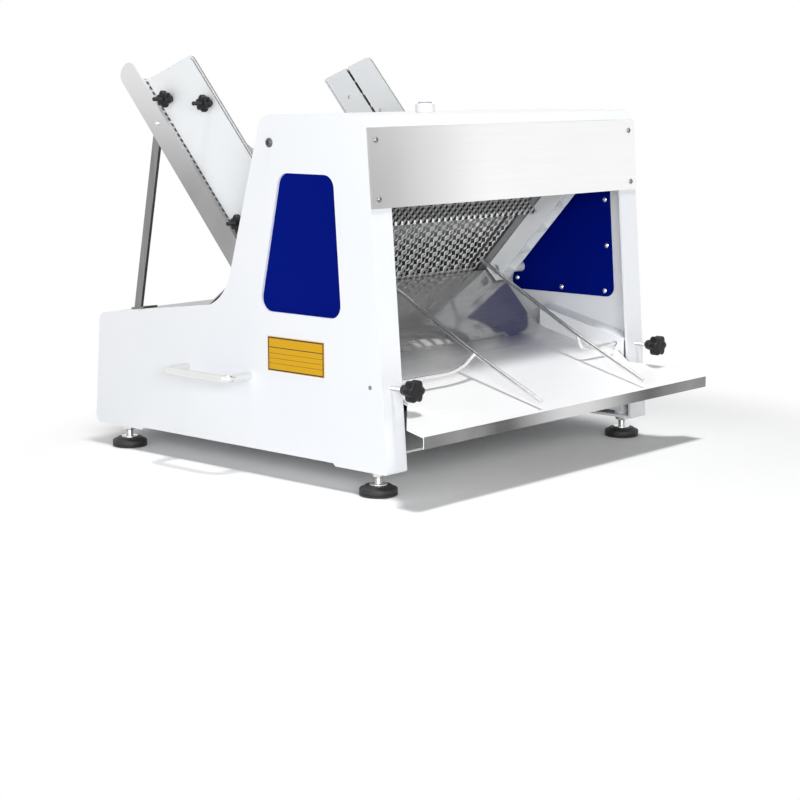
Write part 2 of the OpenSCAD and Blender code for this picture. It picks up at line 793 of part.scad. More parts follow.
module outlet_slide() {
    steep = [cos(slide_slope), sin(slide_slope)];
    end = [tray_joint, tray_at(tray_joint)];
    upper = concat([slide_top], corner_arc(slide_top, slide_bend, end, slide_r, 12), [end]);
    under = left_of(steep) * -outlet_t;
    drop = [0, -outlet_t];
    lower = concat([slide_top + under],
        corner_arc(slide_top + under, slide_bend + drop, end + drop, slide_r + outlet_t, 12),
        [end + drop]);
    n = len(lower);
    color(stainless) machine() spanning(skirt_half)
        polygon(concat(upper, [for (i = [n - 1:-1:0]) lower[i]]));
}

module outlet_tray() {
    inner = front_at(tray_z) - 2;
    color(stainless) machine() {
        intersection() {
            spanning(tray_front_half)
                polygon([[-tray_reach, tray_z - outlet_t], [tray_joint, tray_at(tray_joint) - outlet_t],
                    [tray_joint, tray_at(tray_joint)], [-tray_reach, tray_z]]);
            linear_extrude(2 * tower_h)
                polygon([[tray_half, tray_joint + 1], [-tray_half, tray_joint + 1], [-tray_half, inner],
                    [-tray_front_half, tray_strip - tray_reach], [-tray_front_half, -tray_reach],
                    [tray_front_half, -tray_reach], [tray_front_half, tray_strip - tray_reach], [tray_half, inner]]);
        }
        spanning(tray_front_half)
            translate([-tray_reach - outlet_t, tray_z - lip_h]) square([outlet_t + eps, lip_h]);
        sides() across(tray_half - outlet_t, outlet_t)
            polygon([for (q = [[inner, -eps], [tray_joint - 1, -eps], [tray_joint - 1, tray_flange],
                [inner + 20, tray_flange]]) [q[0], tray_at(q[0]) + q[1]]]);
    }
}

// Infeed chute
slot_half = peg_r + 0.1;
module chute_floor() {
    low_end = -22;
    color(stainless) machine() chute() difference() {
        union() {
            translate([0, 0, -chute_t]) linear_extrude(chute_t)
                polygon(rounded([[-chute_half, 0, 0], [chute_half, 0, 0], [chute_half, floor_len, 0],
                    [notch_half, floor_len, 6], [notch_half, notch_s, 25], [-notch_half, notch_s, 25],
                    [-notch_half, floor_len, 6], [-chute_half, floor_len, 0]]));
            sides() across(cheek_in, chute_t)
                polygon(rounded([[low_end, -cheek_h + 14, 4], [6, -cheek_h, 8],
                    [chute_len, -cheek_h, cheek_r], [chute_len, 0, cheek_r], [low_end, 0, 4]]));
        }
        sides() for (s = peg_s) {
            translate([left_guide_x + peg_x - guide_reach, s - slot_half, -chute_t - 1])
                cube([guide_reach, 2 * slot_half, chute_t + 2]);
            for (x = [left_guide_x + peg_x - guide_reach, left_guide_x + peg_x])
                translate([x, s, -chute_t - 1]) cylinder(r = slot_half, h = chute_t + 2);
        }
        sides() for (p = [chute_boss, [strut_s, -cheek_h / 2]])
            along_x(cheek_in - 1, p[0], p[1]) cylinder(r = screw_r + screw_gap, h = chute_t + 2);
    }
}

strut_top = [on_chute_y(strut_s, -cheek_h / 2), on_chute_z(strut_s, -cheek_h / 2)];
strut_foot = [strut_y, base_top_at(strut_y)];
module chute_struts() {
    v = unit(strut_top - strut_foot);
    side = left_of(v) * strut_w / 2;
    bottom = [for (k = [1, -1]) let (y = strut_foot[0] + k * side[0]) [y, base_top_at(y)]];
    color(dark_steel) machine() sides() difference() {
        union() {
            across(cheek_in - strut_t, strut_t) {
                polygon([bottom[0], strut_top + side, strut_top - side, bottom[1]]);
                translate(strut_top) circle(r = strut_w / 2);
            }
            across(cheek_in - 28, 28)
                polygon([for (q = [[-14, 0], [14, 0], [14, 3], [-14, 3]])
                    [strut_y + q[0], base_top_at(strut_y + q[0]) + q[1]]]);
        }
        along_x(cheek_in - strut_t - 1, strut_top[0], strut_top[1])
            cylinder(r = screw_r + screw_gap, h = strut_t + 2);
    }
}

module frame_fasteners() {
    color(chrome) machine() sides() {
        chute() for (p = [[chute_boss, 14], [[strut_s, -cheek_h / 2], strut_t + 1]]) {
            if (p[0] == chute_boss)
                translate([cheek_in, p[0][0], p[0][1]]) rotate([0, -90, 0]) screw(p[1], screw_r, screw_head_r, 1.6);
            else
                translate([chute_half, p[0][0], p[0][1]]) rotate([0, 90, 0]) screw(p[1]);
        }
        for (k = [-0.5, 0.5])
            along_x(wall_x - 6, handle_y + k * handle_span, handle_z) difference() {
                cylinder(r = 6, h = 6, $fn = 6);
                translate([0, 0, -1]) cylinder(r = handle_tail_r + run_gap, h = 8);
            }
        for (t = boss_t)
            curtain() translate([rim_x - bar_wall, boss_d, t])
                rotate([0, -90, 0]) screw(bar_wall + 16, bolt_r, bolt_r * 1.6, 4);
    }
}

// One bread guide on the +X side, its inner face at x
function studs_at(high) = [for (k = [0, 1]) each [[stud_low_s[k], stud_low], [stud_high_s[k], high]]];
left_places = studs_at(stud_high);
right_places = studs_at(right_stud_high);
module bread_guide(x, places) {
    lead = tan(chute_slope - (90 - blade_lean));
    rise = 0.5;
    top_s = guide_len + 3;
    skew = tan(guide_skew);
    machine() chute() {
        difference() {
            union() {
                for (band = [[rise, guide_split], [guide_split + guide_gap, guide_h]])
                    across(x, guide_t)
                        polygon(rounded([[3 + band[0] * lead, band[0], 3], [top_s - band[0] * skew, band[0], 3],
                            [top_s - band[1] * skew, band[1], band[1] == guide_h ? 12 : 3],
                            [3 + band[1] * lead, band[1], 3]]));
                across(x + guide_t, guide_t)
                    polygon(rounded([[6 + rise * lead, rise, 3], [top_s - 3 - rise * skew, rise, 3],
                        [top_s - 3 - guide_h * skew, guide_h - 2, 12], [6 + guide_h * lead, guide_h - 2, 3]]));
            }
            for (p = places)
                along_x(x - 1, p[0], p[1]) cylinder(r = stud_r + run_gap, h = 2 * guide_t + 2);
        }
        for (s = peg_s) {
            translate([x + peg_x, s, -chute_t - 3]) cylinder(r = peg_r, h = chute_t + 5);
            translate([x + peg_x, s, -chute_t - 3.3]) cylinder(r = peg_r + 4, h = 3);
        }
    }
}
module guide_studs(x, places) {
    machine() chute()
        for (p = places)
            along_x(x + 0.5, p[0], p[1]) cylinder(r = stud_r, h = 2 * guide_t + stud_len);
}
module guide_knob(x, p) {
    machine() chute() along_x(x + 2 * guide_t + pass_gap, p[0], p[1]) difference() {
        star_knob(knob_core_r, knob_lobe_r, knob_hub_h, knob_head_h);
        translate([0, 0, -1]) cylinder(r = stud_r + run_gap, h = knob_hub_h + knob_head_h + 2);
    }
}
module left_bread_guide() { color(white_paint) mirror([1, 0, 0]) bread_guide(left_guide_x, left_places); }
module right_bread_guide() { color(white_paint) bread_guide(right_guide_x, right_places); }
module left_guide_studs() { color(dark_steel) mirror([1, 0, 0]) guide_studs(left_guide_x, left_places); }
module right_guide_studs() { color(dark_steel) guide_studs(right_guide_x, right_places); }
module left_guide_knob(p) { color(black) mirror([1, 0, 0]) guide_knob(left_guide_x, p); }
module right_guide_knob(p) { color(black) guide_knob(right_guide_x, p); }

// Wire guides
left_wire_x = half_w - left_wire_in;
right_wire_x = half_w - right_wire_in;
wire_low = [-tray_reach + 4, tray_at(-tray_reach + 4) + wire_rise];
wire_knee = [0, rod_z + 21];
wire_high = [curtain_y(14, 2), curtain_z(14, 2)];
module wire_guide(x, brace) {
    at = function(p) [x, p[0], p[1]];
    bent_rod([at(wire_low), at(wire_knee), at(wire_high)], wire_r);
    for (p = [wire_low, wire_high]) translate(at(p)) sphere(r = wire_r * 1.04);
    bent_rod([[half_w, -rod_y, rod_z], [x + brace, -rod_y, rod_z],
        [x + brace * 0.45, -rod_y * 0.6, rod_z + 6], [x, wire_knee[0], wire_knee[1] - 0.5]], wire_r);
}
module left_wire_guide() { color(chrome) machine() mirror([1, 0, 0]) wire_guide(left_wire_x, left_brace); }
module right_wire_guide() { color(chrome) machine() wire_guide(right_wire_x, right_brace); }

module clamp_knob() {
    tip = -rod_y - wire_r - 0.3;
    head_y = -clamp_reach + clamp_hub_h + clamp_head_h;
    translate([clamp_x, head_y, rod_z])
        rotate([90, 0, 0]) star_knob(clamp_core_r, clamp_lobe_r, clamp_hub_h, clamp_head_h);
    translate([clamp_x, tip, rod_z]) rotate([90, 0, 0]) cylinder(r = stud_r, h = tip - head_y + 2);
}
module right_clamp_knob() { color(black) machine() clamp_knob(); }
module left_clamp_knob() { color(black) machine() mirror([1, 0, 0]) clamp_knob(); }

// Guide bars and combs
keeper_t = 4;
keeper_start = 39;
keeper_len = 75;
comb_bar = 16;
keepers = [[bar_low + keeper_start, keeper_len], [comb_low, comb_bar]];
module guide_bar() {
    curtain() difference() {
        union() {
            translate([bar_in, 0, bar_low]) cube([bar_w, bar_d, bar_high - bar_low]);
            for (k = keepers) {
                translate([side_bar_out + pass_gap, bar_d - eps, k[0]])
                    cube([rim_x - side_bar_out - pass_gap, stack_d - bar_d + pass_gap + keeper_t, k[1]]);
                translate([bar_in, stack_d + pass_gap, k[0]]) cube([bar_w, keeper_t, k[1]]);
            }
        }
        for (t = [bar_low + bar_wall * 3.5:rib_pitch:bar_high - rib_pitch - bar_wall * 3])
            translate([bar_in + bar_lip, -1, t])
                cube([bar_w - 2 * bar_lip, bar_d - bar_wall + 1, rib_pitch - rib_t]);
        for (t = boss_t)
            along_x(bar_in - 1, boss_d, t) {
                cylinder(r = bolt_r * 1.6 + 1, h = bar_w - bar_wall + 1);
                cylinder(r = bolt_r + screw_gap, h = bar_w + 2);
            }
    }
}
module right_guide_bar() { color(white_paint) machine() guide_bar(); }
module left_guide_bar() { color(white_paint) machine() mirror([1, 0, 0]) guide_bar(); }

finger_x = [for (i = [0:2 * front_blades_n - 3]) -blade_span / 2 + (i + 0.5) * blade_pitch];
comb_back = stack_d + pass_gap + keeper_t;
comb_front = front_d - comb_reach;
module upper_comb() {
    half = rim_x - pass_gap;
    top = comb_low + top_finger_h;
    color(stainless) machine() curtain() {
        translate([-half, comb_back, comb_low]) cube([2 * half, comb_bar * 0.75, comb_bar]);
        for (x = finger_x)
            across(x - top_finger_w / 2, top_finger_w)
                polygon([[comb_front, comb_low + 5], [comb_front + 5, comb_low], [comb_back, comb_low],
                    [comb_back, top], [comb_front + 4, top]]);
    }
}

lower_bar_h = 20;
lower_bar_d = 12;
module lower_comb() {
    top = floor_t - chute_t - pass_gap;
    color(stainless) machine() curtain() {
        translate([-cheek_in, chute_d, top - lower_bar_h]) cube([2 * cheek_in, lower_bar_d, lower_bar_h]);
        for (x = finger_x)
            translate([x - finger_w / 2, front_d, top - 8]) cube([finger_w, chute_d - front_d + 2, 8]);
    }
}

// Blade frames, each of two beams and two side bars, with a lug and pin for its rod
module blade_frame(d, side) {
    machine() curtain() {
        translate([-side_bar_out, d, blade_high]) cube([2 * side_bar_out, frame_t, beam_h]);
        sides() translate([side_bar_x, d, blade_low])
            cube([side_bar_out - side_bar_x, frame_t, blade_high - blade_low]);
        translate([-side_bar_out, d, blade_low - beam_h]) cube([2 * side_bar_out, frame_t, beam_h]);
        scale_x = side > 0 ? 0 : 1;
        mirror([scale_x, 0, 0]) {
            translate([lug_x, d, wrist_t - 8]) cube([lug_t, frame_t, blade_low - beam_h - wrist_t + 8 + eps]);
            along_x(rod_x, d + frame_t / 2, wrist_t) cylinder(r = wrist_r, h = lug_x - rod_x + eps);
        }
    }
}
module front_blade_frame() { color(stainless) blade_frame(front_d, -1); }
module rear_blade_frame() { color(stainless) blade_frame(rear_d, 1); }

teeth_n = floor((blade_high - blade_low) / tooth_pitch);
function blade_edge(d) =
    [for (i = [0:teeth_n - 1]) let (t = blade_low + 4 + i * tooth_pitch)
        for (q = [[0, 0], [0.25, 0.8], [0.5, 1], [0.75, 0.8]])
            if (t + tooth_pitch < blade_high) [d + blade_w - q[1] * tooth_depth, t + q[0] * tooth_pitch]];
module blade_set(n, d) {
    near = d + (frame_t - blade_w) / 2;
    edge = blade_edge(near);
    machine() curtain()
        for (i = [0:n - 1])
            across((2 * i - n + 1) * blade_pitch - blade_t / 2, blade_t)
                polygon(concat([[near, blade_low], [near + blade_w, blade_low]], edge,
                    [[near + blade_w, blade_high], [near, blade_high]]));
}
module front_blades() { color(chrome) blade_set(front_blades_n, front_d); }
module rear_blades() { color(chrome) blade_set(front_blades_n - 1, rear_d); }

// Drive
// Rod from a frame's wrist pin to the crank pin, which stands off square to the curtain at rest
module connecting_rod(d, side) {
    wrist = [d + frame_t / 2, wrist_t];
    pin = [crank_d + side * half_stroke, crank_t];
    v = pin - wrist;
    mirror([side > 0 ? 0 : 1, 0, 0]) machine() curtain() difference() {
        union() {
            along_x(rod_x, wrist[0], wrist[1]) cylinder(r = eye_r, h = rod_t);
            along_x(rod_x, pin[0], pin[1]) cylinder(r = eye_r + 2, h = rod_t);
            across(rod_x + 2, rod_t - 4)
                polygon([wrist + left_of(unit(v)) * 7, wrist - left_of(unit(v)) * 7,
                    pin - left_of(unit(v)) * 8, pin + left_of(unit(v)) * 8]);
        }
        along_x(rod_x - 1, wrist[0], wrist[1]) cylinder(r = wrist_r + run_gap, h = rod_t + 2);
        along_x(rod_x - 1, pin[0], pin[1]) cylinder(r = wrist_r + 1 + run_gap, h = rod_t + 2);
    }
}
module front_connecting_rod() { color(cast_grey) connecting_rod(front_d, -1); }
module rear_connecting_rod() { color(cast_grey) connecting_rod(rear_d, 1); }

module crankshaft() {
    color(cast_grey) machine() {
        along_x(-crank_half, crank_y, crank_z) cylinder(r = crank_r, h = 2 * crank_half);
        curtain() for (side = [-1, 1])
            mirror([side > 0 ? 0 : 1, 0, 0]) {
                along_x(crank_half - eps, crank_d, crank_t) cylinder(r = crank_disc_r, h = crank_disc_t);
                along_x(crank_half, crank_d + side * half_stroke, crank_t)
                    cylinder(r = wrist_r + 1, h = crank_disc_t + pin_len);
            }
    }
}

block_w = 24;
block_d = 60;
module crank_bearings() {
    low = pan_z + pan_t;
    color(cast_grey) machine() sides() difference() {
        union() {
            translate([bearing_x, crank_y - block_d / 2, low]) cube([block_w, block_d, 14]);
            translate([bearing_x, crank_y - crank_r * 1.8, low]) cube([block_w, crank_r * 3.6, crank_z - low]);
            along_x(bearing_x, crank_y, crank_z) cylinder(r = crank_r * 1.8, h = block_w);
        }
        along_x(bearing_x - 1, crank_y, crank_z) cylinder(r = crank_r + run_gap, h = block_w + 2);
    }
}

groove_h = 8;
belt_w = 8;
belt_t = 6;
module pulley(groove_r, bore) {
    half = pulley_w / 2;
    rotate_extrude()
        polygon([[bore, -half], [groove_r + groove_h, -half], [groove_r + groove_h, -half + 2],
            [groove_r, -belt_w / 2 - pass_gap], [groove_r, belt_w / 2 + pass_gap],
            [groove_r + groove_h, half - 2], [groove_r + groove_h, half], [bore, half]]);
}
module driven_pulley() { color(cast_grey) machine() along_x(0, crank_y, crank_z) pulley(driven_groove_r, crank_r); }

shaft_r = 7;
motor_gap = 14;
shaft_end = 3;
shaft_in = 30;
module motor_pulley() {
    color(cast_grey) machine() along_x(0, motor_y, motor_z) {
        pulley(motor_groove_r, shaft_r - 1);
        translate([0, 0, -pulley_w / 2 - shaft_end])
            cylinder(r = shaft_r, h = pulley_w / 2 + shaft_end + motor_gap + shaft_in);
    }
}
module motor() {
    low = pan_z + pan_t;
    color(dark_steel) machine() difference() {
        union() {
            along_x(motor_gap + 12, motor_y, motor_z) cylinder(r = motor_r, h = motor_len - 24);
            along_x(motor_gap, motor_y, motor_z) cylinder(r1 = motor_r * 0.7, r2 = motor_r * 0.94, h = 12 + eps);
            along_x(motor_gap + motor_len - 12 - eps, motor_y, motor_z)
                cylinder(r1 = motor_r * 0.94, r2 = motor_r * 0.7, h = 12);
            for (x = [motor_gap + 24, motor_gap + motor_len - 48])
                translate([x, motor_y - motor_r, low]) cube([24, 2 * motor_r, motor_z - low - motor_r * 0.5]);
        }
        along_x(motor_gap - 1, motor_y, motor_z) cylinder(r = shaft_r + run_gap, h = shaft_in + 2);
    }
}

// Belt loop: tangent lines and arcs round both pulleys, grown by w
function belt_loop(w) =
    let (a = [crank_y, crank_z], b = [motor_y, motor_z], ra = driven_groove_r + w, rb = motor_groove_r + w,
         along = atan2(b[1] - a[1], b[0] - a[0]), lead = acos((ra - rb) / norm(b - a)), n = 24)
    concat([for (i = [0:n]) let (q = along + lead + (360 - 2 * lead) * i / n) a + ra * [cos(q), sin(q)]],
        [for (i = [0:n]) let (q = along - lead + 2 * lead * i / n) b + rb * [cos(q), sin(q)]]);
module drive_belt() {
    color(black) machine() difference() {
        spanning(belt_w / 2) polygon(belt_loop(pass_gap + belt_t));
        spanning(belt_w) polygon(belt_loop(pass_gap));
    }
}

// Feet, handles and rating plate
module foot(x, y) {
    machine() translate([x, y, 0]) {
        difference() {
            union() {
                cylinder(r = foot_pad_r, h = foot_pad_h * 0.7);
                translate([0, 0, foot_pad_h * 0.7 - eps])
                    cylinder(r1 = foot_pad_r, r2 = foot_pad_r * 0.72, h = foot_pad_h * 0.3 + eps);
            }
            translate([0, 0, 3]) cylinder(r = foot_stud_r, h = foot_pad_h);
        }
        translate([0, 0, 3]) cylinder(r = foot_stud_r, h = foot_stud_top - 3);
        translate([0, 0, foot_pad_h]) cylinder(r = nut_r * 1.25, h = 2);
    }
}
module foot_front_left() { color(black) foot(-foot_x, -foot_front); }
module foot_front_right() { color(black) foot(foot_x, -foot_front); }
module foot_rear_left() { color(black) foot(-foot_x, base_reach - foot_rear); }
module foot_rear_right() { color(black) foot(foot_x, base_reach - foot_rear); }

module foot_lock_nuts() {
    color(chrome) machine() sides() for (y = foot_places)
        translate([foot_x, y, panel_clear - nut_h]) difference() {
            cylinder(r = nut_r, h = nut_h, $fn = 6);
            translate([0, 0, -1]) cylinder(r = foot_stud_r + run_gap, h = nut_h + 2);
        }
}

module side_handles() {
    bar = handle_span - 2 * handle_bend;
    color(chrome) machine() sides() translate([half_w, handle_y, handle_z]) {
        for (k = [-1, 1]) {
            along_x(0, k * handle_span / 2, 0) cylinder(r = handle_r, h = handle_out - handle_bend);
            along_x(-handle_tail, k * handle_span / 2, 0) cylinder(r = handle_tail_r, h = handle_tail + eps);
            translate([handle_out - handle_bend, k * bar / 2, 0])
                rotate(k > 0 ? 0 : -90)
                    rotate_extrude(angle = 90) translate([handle_bend, 0]) circle(r = handle_r);
        }
        translate([handle_out, -bar / 2, 0]) rotate([-90, 0, 0]) cylinder(r = handle_r, h = bar);
    }
}

module rating_plate() {
    color(gold) machine() translate([-half_w - 0.8, plate_y - plate_w / 2, plate_z - plate_h / 2])
        cube([0.8, plate_w, plate_h]);
}

left_side_panel();
right_side_panel();
left_window_plate();
right_window_plate();
panel_screws();
front_fascia();
top_cover();
tower_tie_bar();
tie_bolts();
switch_housing();
switch_button();
base_pan();
rear_cover();
cable_gland();
outlet_skirts();
outlet_slide();
outlet_tray();
chute_floor();
chute_struts();
frame_fasteners();
left_bread_guide();
left_guide_studs();
right_bread_guide();
right_guide_studs();
left_guide_knob(left_places[0]);  // left_knob_low_front
left_guide_knob(left_places[2]);  // left_knob_low_rear
left_guide_knob(left_places[1]);  // left_knob_high_front
left_guide_knob(left_places[3]);  // left_knob_high_rear
right_guide_knob(right_places[0]);  // right_knob_low_front
right_guide_knob(right_places[2]);  // right_knob_low_rear
right_guide_knob(right_places[1]);  // right_knob_high_front
right_guide_knob(right_places[3]);  // right_knob_high_rear
left_wire_guide();
right_wire_guide();
left_clamp_knob();
right_clamp_knob();
left_guide_bar();
right_guide_bar();
upper_comb();
lower_comb();
front_blade_frame();
rear_blade_frame();
front_blades();
rear_blades();
front_connecting_rod();
rear_connecting_rod();
crankshaft();
crank_bearings();
driven_pulley();
motor();
motor_pulley();
drive_belt();
foot_front_left();
foot_front_right();
foot_rear_left();
foot_rear_right();
foot_lock_nuts();
side_handles();
rating_plate();
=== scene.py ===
"""Looks of the table-top bread slicer: finishes, softened sheet metal, knobs, blades, feet and studio."""

import json
import math

import bmesh
import bpy
from mathutils import Matrix, Vector


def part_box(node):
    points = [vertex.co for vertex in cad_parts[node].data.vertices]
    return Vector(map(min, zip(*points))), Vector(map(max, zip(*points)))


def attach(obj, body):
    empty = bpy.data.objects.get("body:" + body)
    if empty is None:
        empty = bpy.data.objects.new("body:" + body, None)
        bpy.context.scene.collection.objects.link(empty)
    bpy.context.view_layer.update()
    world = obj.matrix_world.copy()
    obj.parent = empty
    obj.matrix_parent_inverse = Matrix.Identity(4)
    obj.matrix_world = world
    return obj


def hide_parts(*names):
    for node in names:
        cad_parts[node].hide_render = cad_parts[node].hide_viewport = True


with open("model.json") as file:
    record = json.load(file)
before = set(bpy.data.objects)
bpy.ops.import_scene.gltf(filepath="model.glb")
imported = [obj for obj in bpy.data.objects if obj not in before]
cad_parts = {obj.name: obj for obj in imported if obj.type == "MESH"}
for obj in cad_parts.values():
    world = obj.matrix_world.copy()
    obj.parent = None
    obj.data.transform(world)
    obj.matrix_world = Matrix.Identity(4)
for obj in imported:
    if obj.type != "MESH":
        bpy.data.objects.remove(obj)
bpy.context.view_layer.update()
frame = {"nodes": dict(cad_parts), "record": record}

NODE_BODY = {n: b for b, ns in frame["record"]["behaviour"]["bodies"].items() for n in ns}
NODE_SLOT = {s["node"]: s["material_slot"] for s in frame["record"]["subparts"]}
SIDES = (("left", -1), ("right", 1))
ACROSS = Vector((1, 0, 0))
REARWARD = Vector((0, 1, 0))
UPWARD = Vector((0, 0, 1))

# Slanted spaces of the machine, as in the part's source
MM = 0.001
Y_SHIFT = -219.105
BLADE_LEAN = math.radians(47.5)
CHUTE_SLOPE = math.radians(48.6)


def at(x, y, z):
    """A place in millimetres from the fascia's reference line, as a point of the frame."""
    return Vector((x, y + Y_SHIFT, z)) * MM


CURTAIN = Matrix.Translation(at(0, 180, 261)) @ Matrix.Rotation(math.pi / 2 - BLADE_LEAN, 4, "X")
CHUTE = Matrix.Translation(at(0, 244.343, 272.488)) @ Matrix.Rotation(CHUTE_SLOPE, 4, "X")
CURTAIN_DEPTH = CURTAIN.to_3x3() @ REARWARD
CHUTE_ALONG = CHUTE.to_3x3() @ REARWARD
CHUTE_NORMAL = CHUTE.to_3x3() @ UPWARD


# Shader helpers
NOISE_LOW, NOISE_HIGH = 0.3, 0.7
PEEL_HEIGHT = 0.0006
SCRATCH_HEIGHT = 0.0004
SCRATCH_SHARE = 0.6


def grey(value):
    return (value, value, value)


def node(tree, kind, **values):
    """Adds a node and sets its properties, or its sockets where a value isn't a property."""
    n = tree.nodes.new(kind)
    for key, value in values.items():
        if hasattr(n, key):
            setattr(n, key, value)
        else:
            n.inputs[key.replace("_", " ")].default_value = value
    return n


def group(name, inputs, outputs):
    """A shader node group with named sockets, and its input and output nodes."""
    g = bpy.data.node_groups.new(name, "ShaderNodeTree")
    for label, kind, value in inputs:
        g.interface.new_socket(name=label, in_out="INPUT", socket_type=kind).default_value = value
    for label, kind in outputs:
        g.interface.new_socket(name=label, in_out="OUTPUT", socket_type=kind)
    return g, g.nodes.new("NodeGroupInput"), g.nodes.new("NodeGroupOutput")


def object_place(tree):
    return node(tree, "ShaderNodeTexCoord").outputs["Object"]


def make_coat_skin():
    """Fine orange peel and slow tone drift of a sprayed or moulded surface."""
    g, i, o = group(
        "coat_skin",
        [("Grain", "NodeSocketFloat", 900.0), ("Drift", "NodeSocketFloat", 4.0)],
        [("Peel", "NodeSocketFloat"), ("Tone", "NodeSocketFloat")],
    )
    place = object_place(g)
    fine = node(g, "ShaderNodeTexNoise", Detail=3.0, Roughness=0.55)
    slow = node(g, "ShaderNodeTexNoise", Detail=2.0, Roughness=0.5)
    g.links.new(place, fine.inputs["Vector"])
    g.links.new(place, slow.inputs["Vector"])
    g.links.new(i.outputs["Grain"], fine.inputs["Scale"])
    g.links.new(i.outputs["Drift"], slow.inputs["Scale"])
    g.links.new(fine.outputs["Fac"], o.inputs["Peel"])
    g.links.new(slow.outputs["Fac"], o.inputs["Tone"])
    return g


def make_brush_lines():
    """Long fine scratches along one direction, with slow smudges over them."""
    g, i, o = group(
        "brush_lines",
        [("Stretch", "NodeSocketVector", (8.0, 700.0, 700.0)), ("Smudge", "NodeSocketFloat", 6.0)],
        [("Lines", "NodeSocketFloat"), ("Marks", "NodeSocketFloat")],
    )
    place = object_place(g)
    stretch = node(g, "ShaderNodeVectorMath", operation="MULTIPLY")
    lines = node(g, "ShaderNodeTexNoise", Scale=1.0, Detail=4.0, Roughness=0.6)
    marks = node(g, "ShaderNodeTexNoise", Detail=3.0, Roughness=0.6)
    g.links.new(place, stretch.inputs[0])
    g.links.new(i.outputs["Stretch"], stretch.inputs[1])
    g.links.new(stretch.outputs["Vector"], lines.inputs["Vector"])
    g.links.new(place, marks.inputs["Vector"])
    g.links.new(i.outputs["Smudge"], marks.inputs["Scale"])
    g.links.new(lines.outputs["Fac"], o.inputs["Lines"])
    g.links.new(marks.outputs["Fac"], o.inputs["Marks"])
    return g


COAT_SKIN = make_coat_skin()
BRUSH_LINES = make_brush_lines()


def calc(tree, operation, *terms):
    """The result of a Math node whose terms are sockets or plain numbers."""
    n = node(tree, "ShaderNodeMath", operation=operation)
    for socket, term in zip(n.inputs, terms):
        if isinstance(term, bpy.types.NodeSocket):
            tree.links.new(term, socket)
        else:
            socket.default_value = term
    return n.outputs["Value"]


def place_along(tree, direction):
    """How far a point of the piece lies along a direction."""
    n = node(tree, "ShaderNodeVectorMath", operation="DOT_PRODUCT")
    tree.links.new(object_place(tree), n.inputs[0])
    n.inputs[1].default_value = direction
    return n.outputs["Value"]


def ramp(tree, value, start, end, low=0.0, high=1.0, interpolation="LINEAR"):
    """Turns a value that runs from start to end into one from low to high."""
    m = node(
        tree, "ShaderNodeMapRange", interpolation_type=interpolation,
        From_Min=start, From_Max=end, To_Min=low, To_Max=high,
    )
    tree.links.new(value, m.inputs["Value"])
    return m.outputs["Result"]


def between(tree, noise, low, high):
    """Spreads the usual range of a noise over low to high."""
    return ramp(tree, noise, NOISE_LOW, NOISE_HIGH, low, high)


def two_tones(tree, noise, dark, light):
    m = node(tree, "ShaderNodeMix", data_type="RGBA")
    m.inputs["A"].default_value = (*dark, 1)
    m.inputs["B"].default_value = (*light, 1)
    tree.links.new(between(tree, noise, 0, 1), m.inputs["Factor"])
    return m.outputs["Result"]


def blank(name):
    """A material with nothing but its shader and output."""
    mat = bpy.data.materials.new(name)
    mat.use_nodes = True
    tree = mat.node_tree
    tree.nodes.clear()
    out = node(tree, "ShaderNodeOutputMaterial")
    shader = node(tree, "ShaderNodeBsdfPrincipled")
    tree.links.new(shader.outputs["BSDF"], out.inputs["Surface"])
    return mat, tree, shader


def add_bump(tree, shader, height, strength, distance):
    b = node(tree, "ShaderNodeBump", Strength=strength, Distance=distance)
    tree.links.new(height, b.inputs["Height"])
    tree.links.new(b.outputs["Normal"], shader.inputs["Normal"])


def coated(name, dark, light, rough, peel=0.06, grain=900.0, drift=4.0, metallic=0.0, shine=0.5):
    """Paint, enamel, moulded plastic or rubber."""
    mat, tree, shader = blank(name)
    skin = node(tree, "ShaderNodeGroup", node_tree=COAT_SKIN)
    skin.inputs["Grain"].default_value = grain
    skin.inputs["Drift"].default_value = drift
    shader.inputs["Metallic"].default_value = metallic
    shader.inputs["Specular IOR Level"].default_value = shine
    tree.links.new(two_tones(tree, skin.outputs["Tone"], dark, light), shader.inputs["Base Color"])
    tree.links.new(between(tree, skin.outputs["Tone"], *rough), shader.inputs["Roughness"])
    add_bump(tree, shader, skin.outputs["Peel"], peel, PEEL_HEIGHT)
    return mat


def brushed(name, dark, light, rough, stretch, depth=0.05, metallic=1.0):
    """Sheet or rod steel with a drawn, ground or polished surface."""
    mat, tree, shader = blank(name)
    skin = node(tree, "ShaderNodeGroup", node_tree=BRUSH_LINES)
    skin.inputs["Stretch"].default_value = stretch
    lines, marks = skin.outputs["Lines"], skin.outputs["Marks"]
    smooth, swing = rough[0], rough[1] - rough[0]
    by_lines = between(tree, lines, 0, swing * SCRATCH_SHARE)
    by_marks = between(tree, marks, smooth, smooth + swing * (1 - SCRATCH_SHARE))
    shader.inputs["Metallic"].default_value = metallic
    tree.links.new(two_tones(tree, lines, dark, light), shader.inputs["Base Color"])
    tree.links.new(calc(tree, "ADD", by_lines, by_marks), shader.inputs["Roughness"])
    add_bump(tree, shader, lines, depth, SCRATCH_HEIGHT)
    return mat


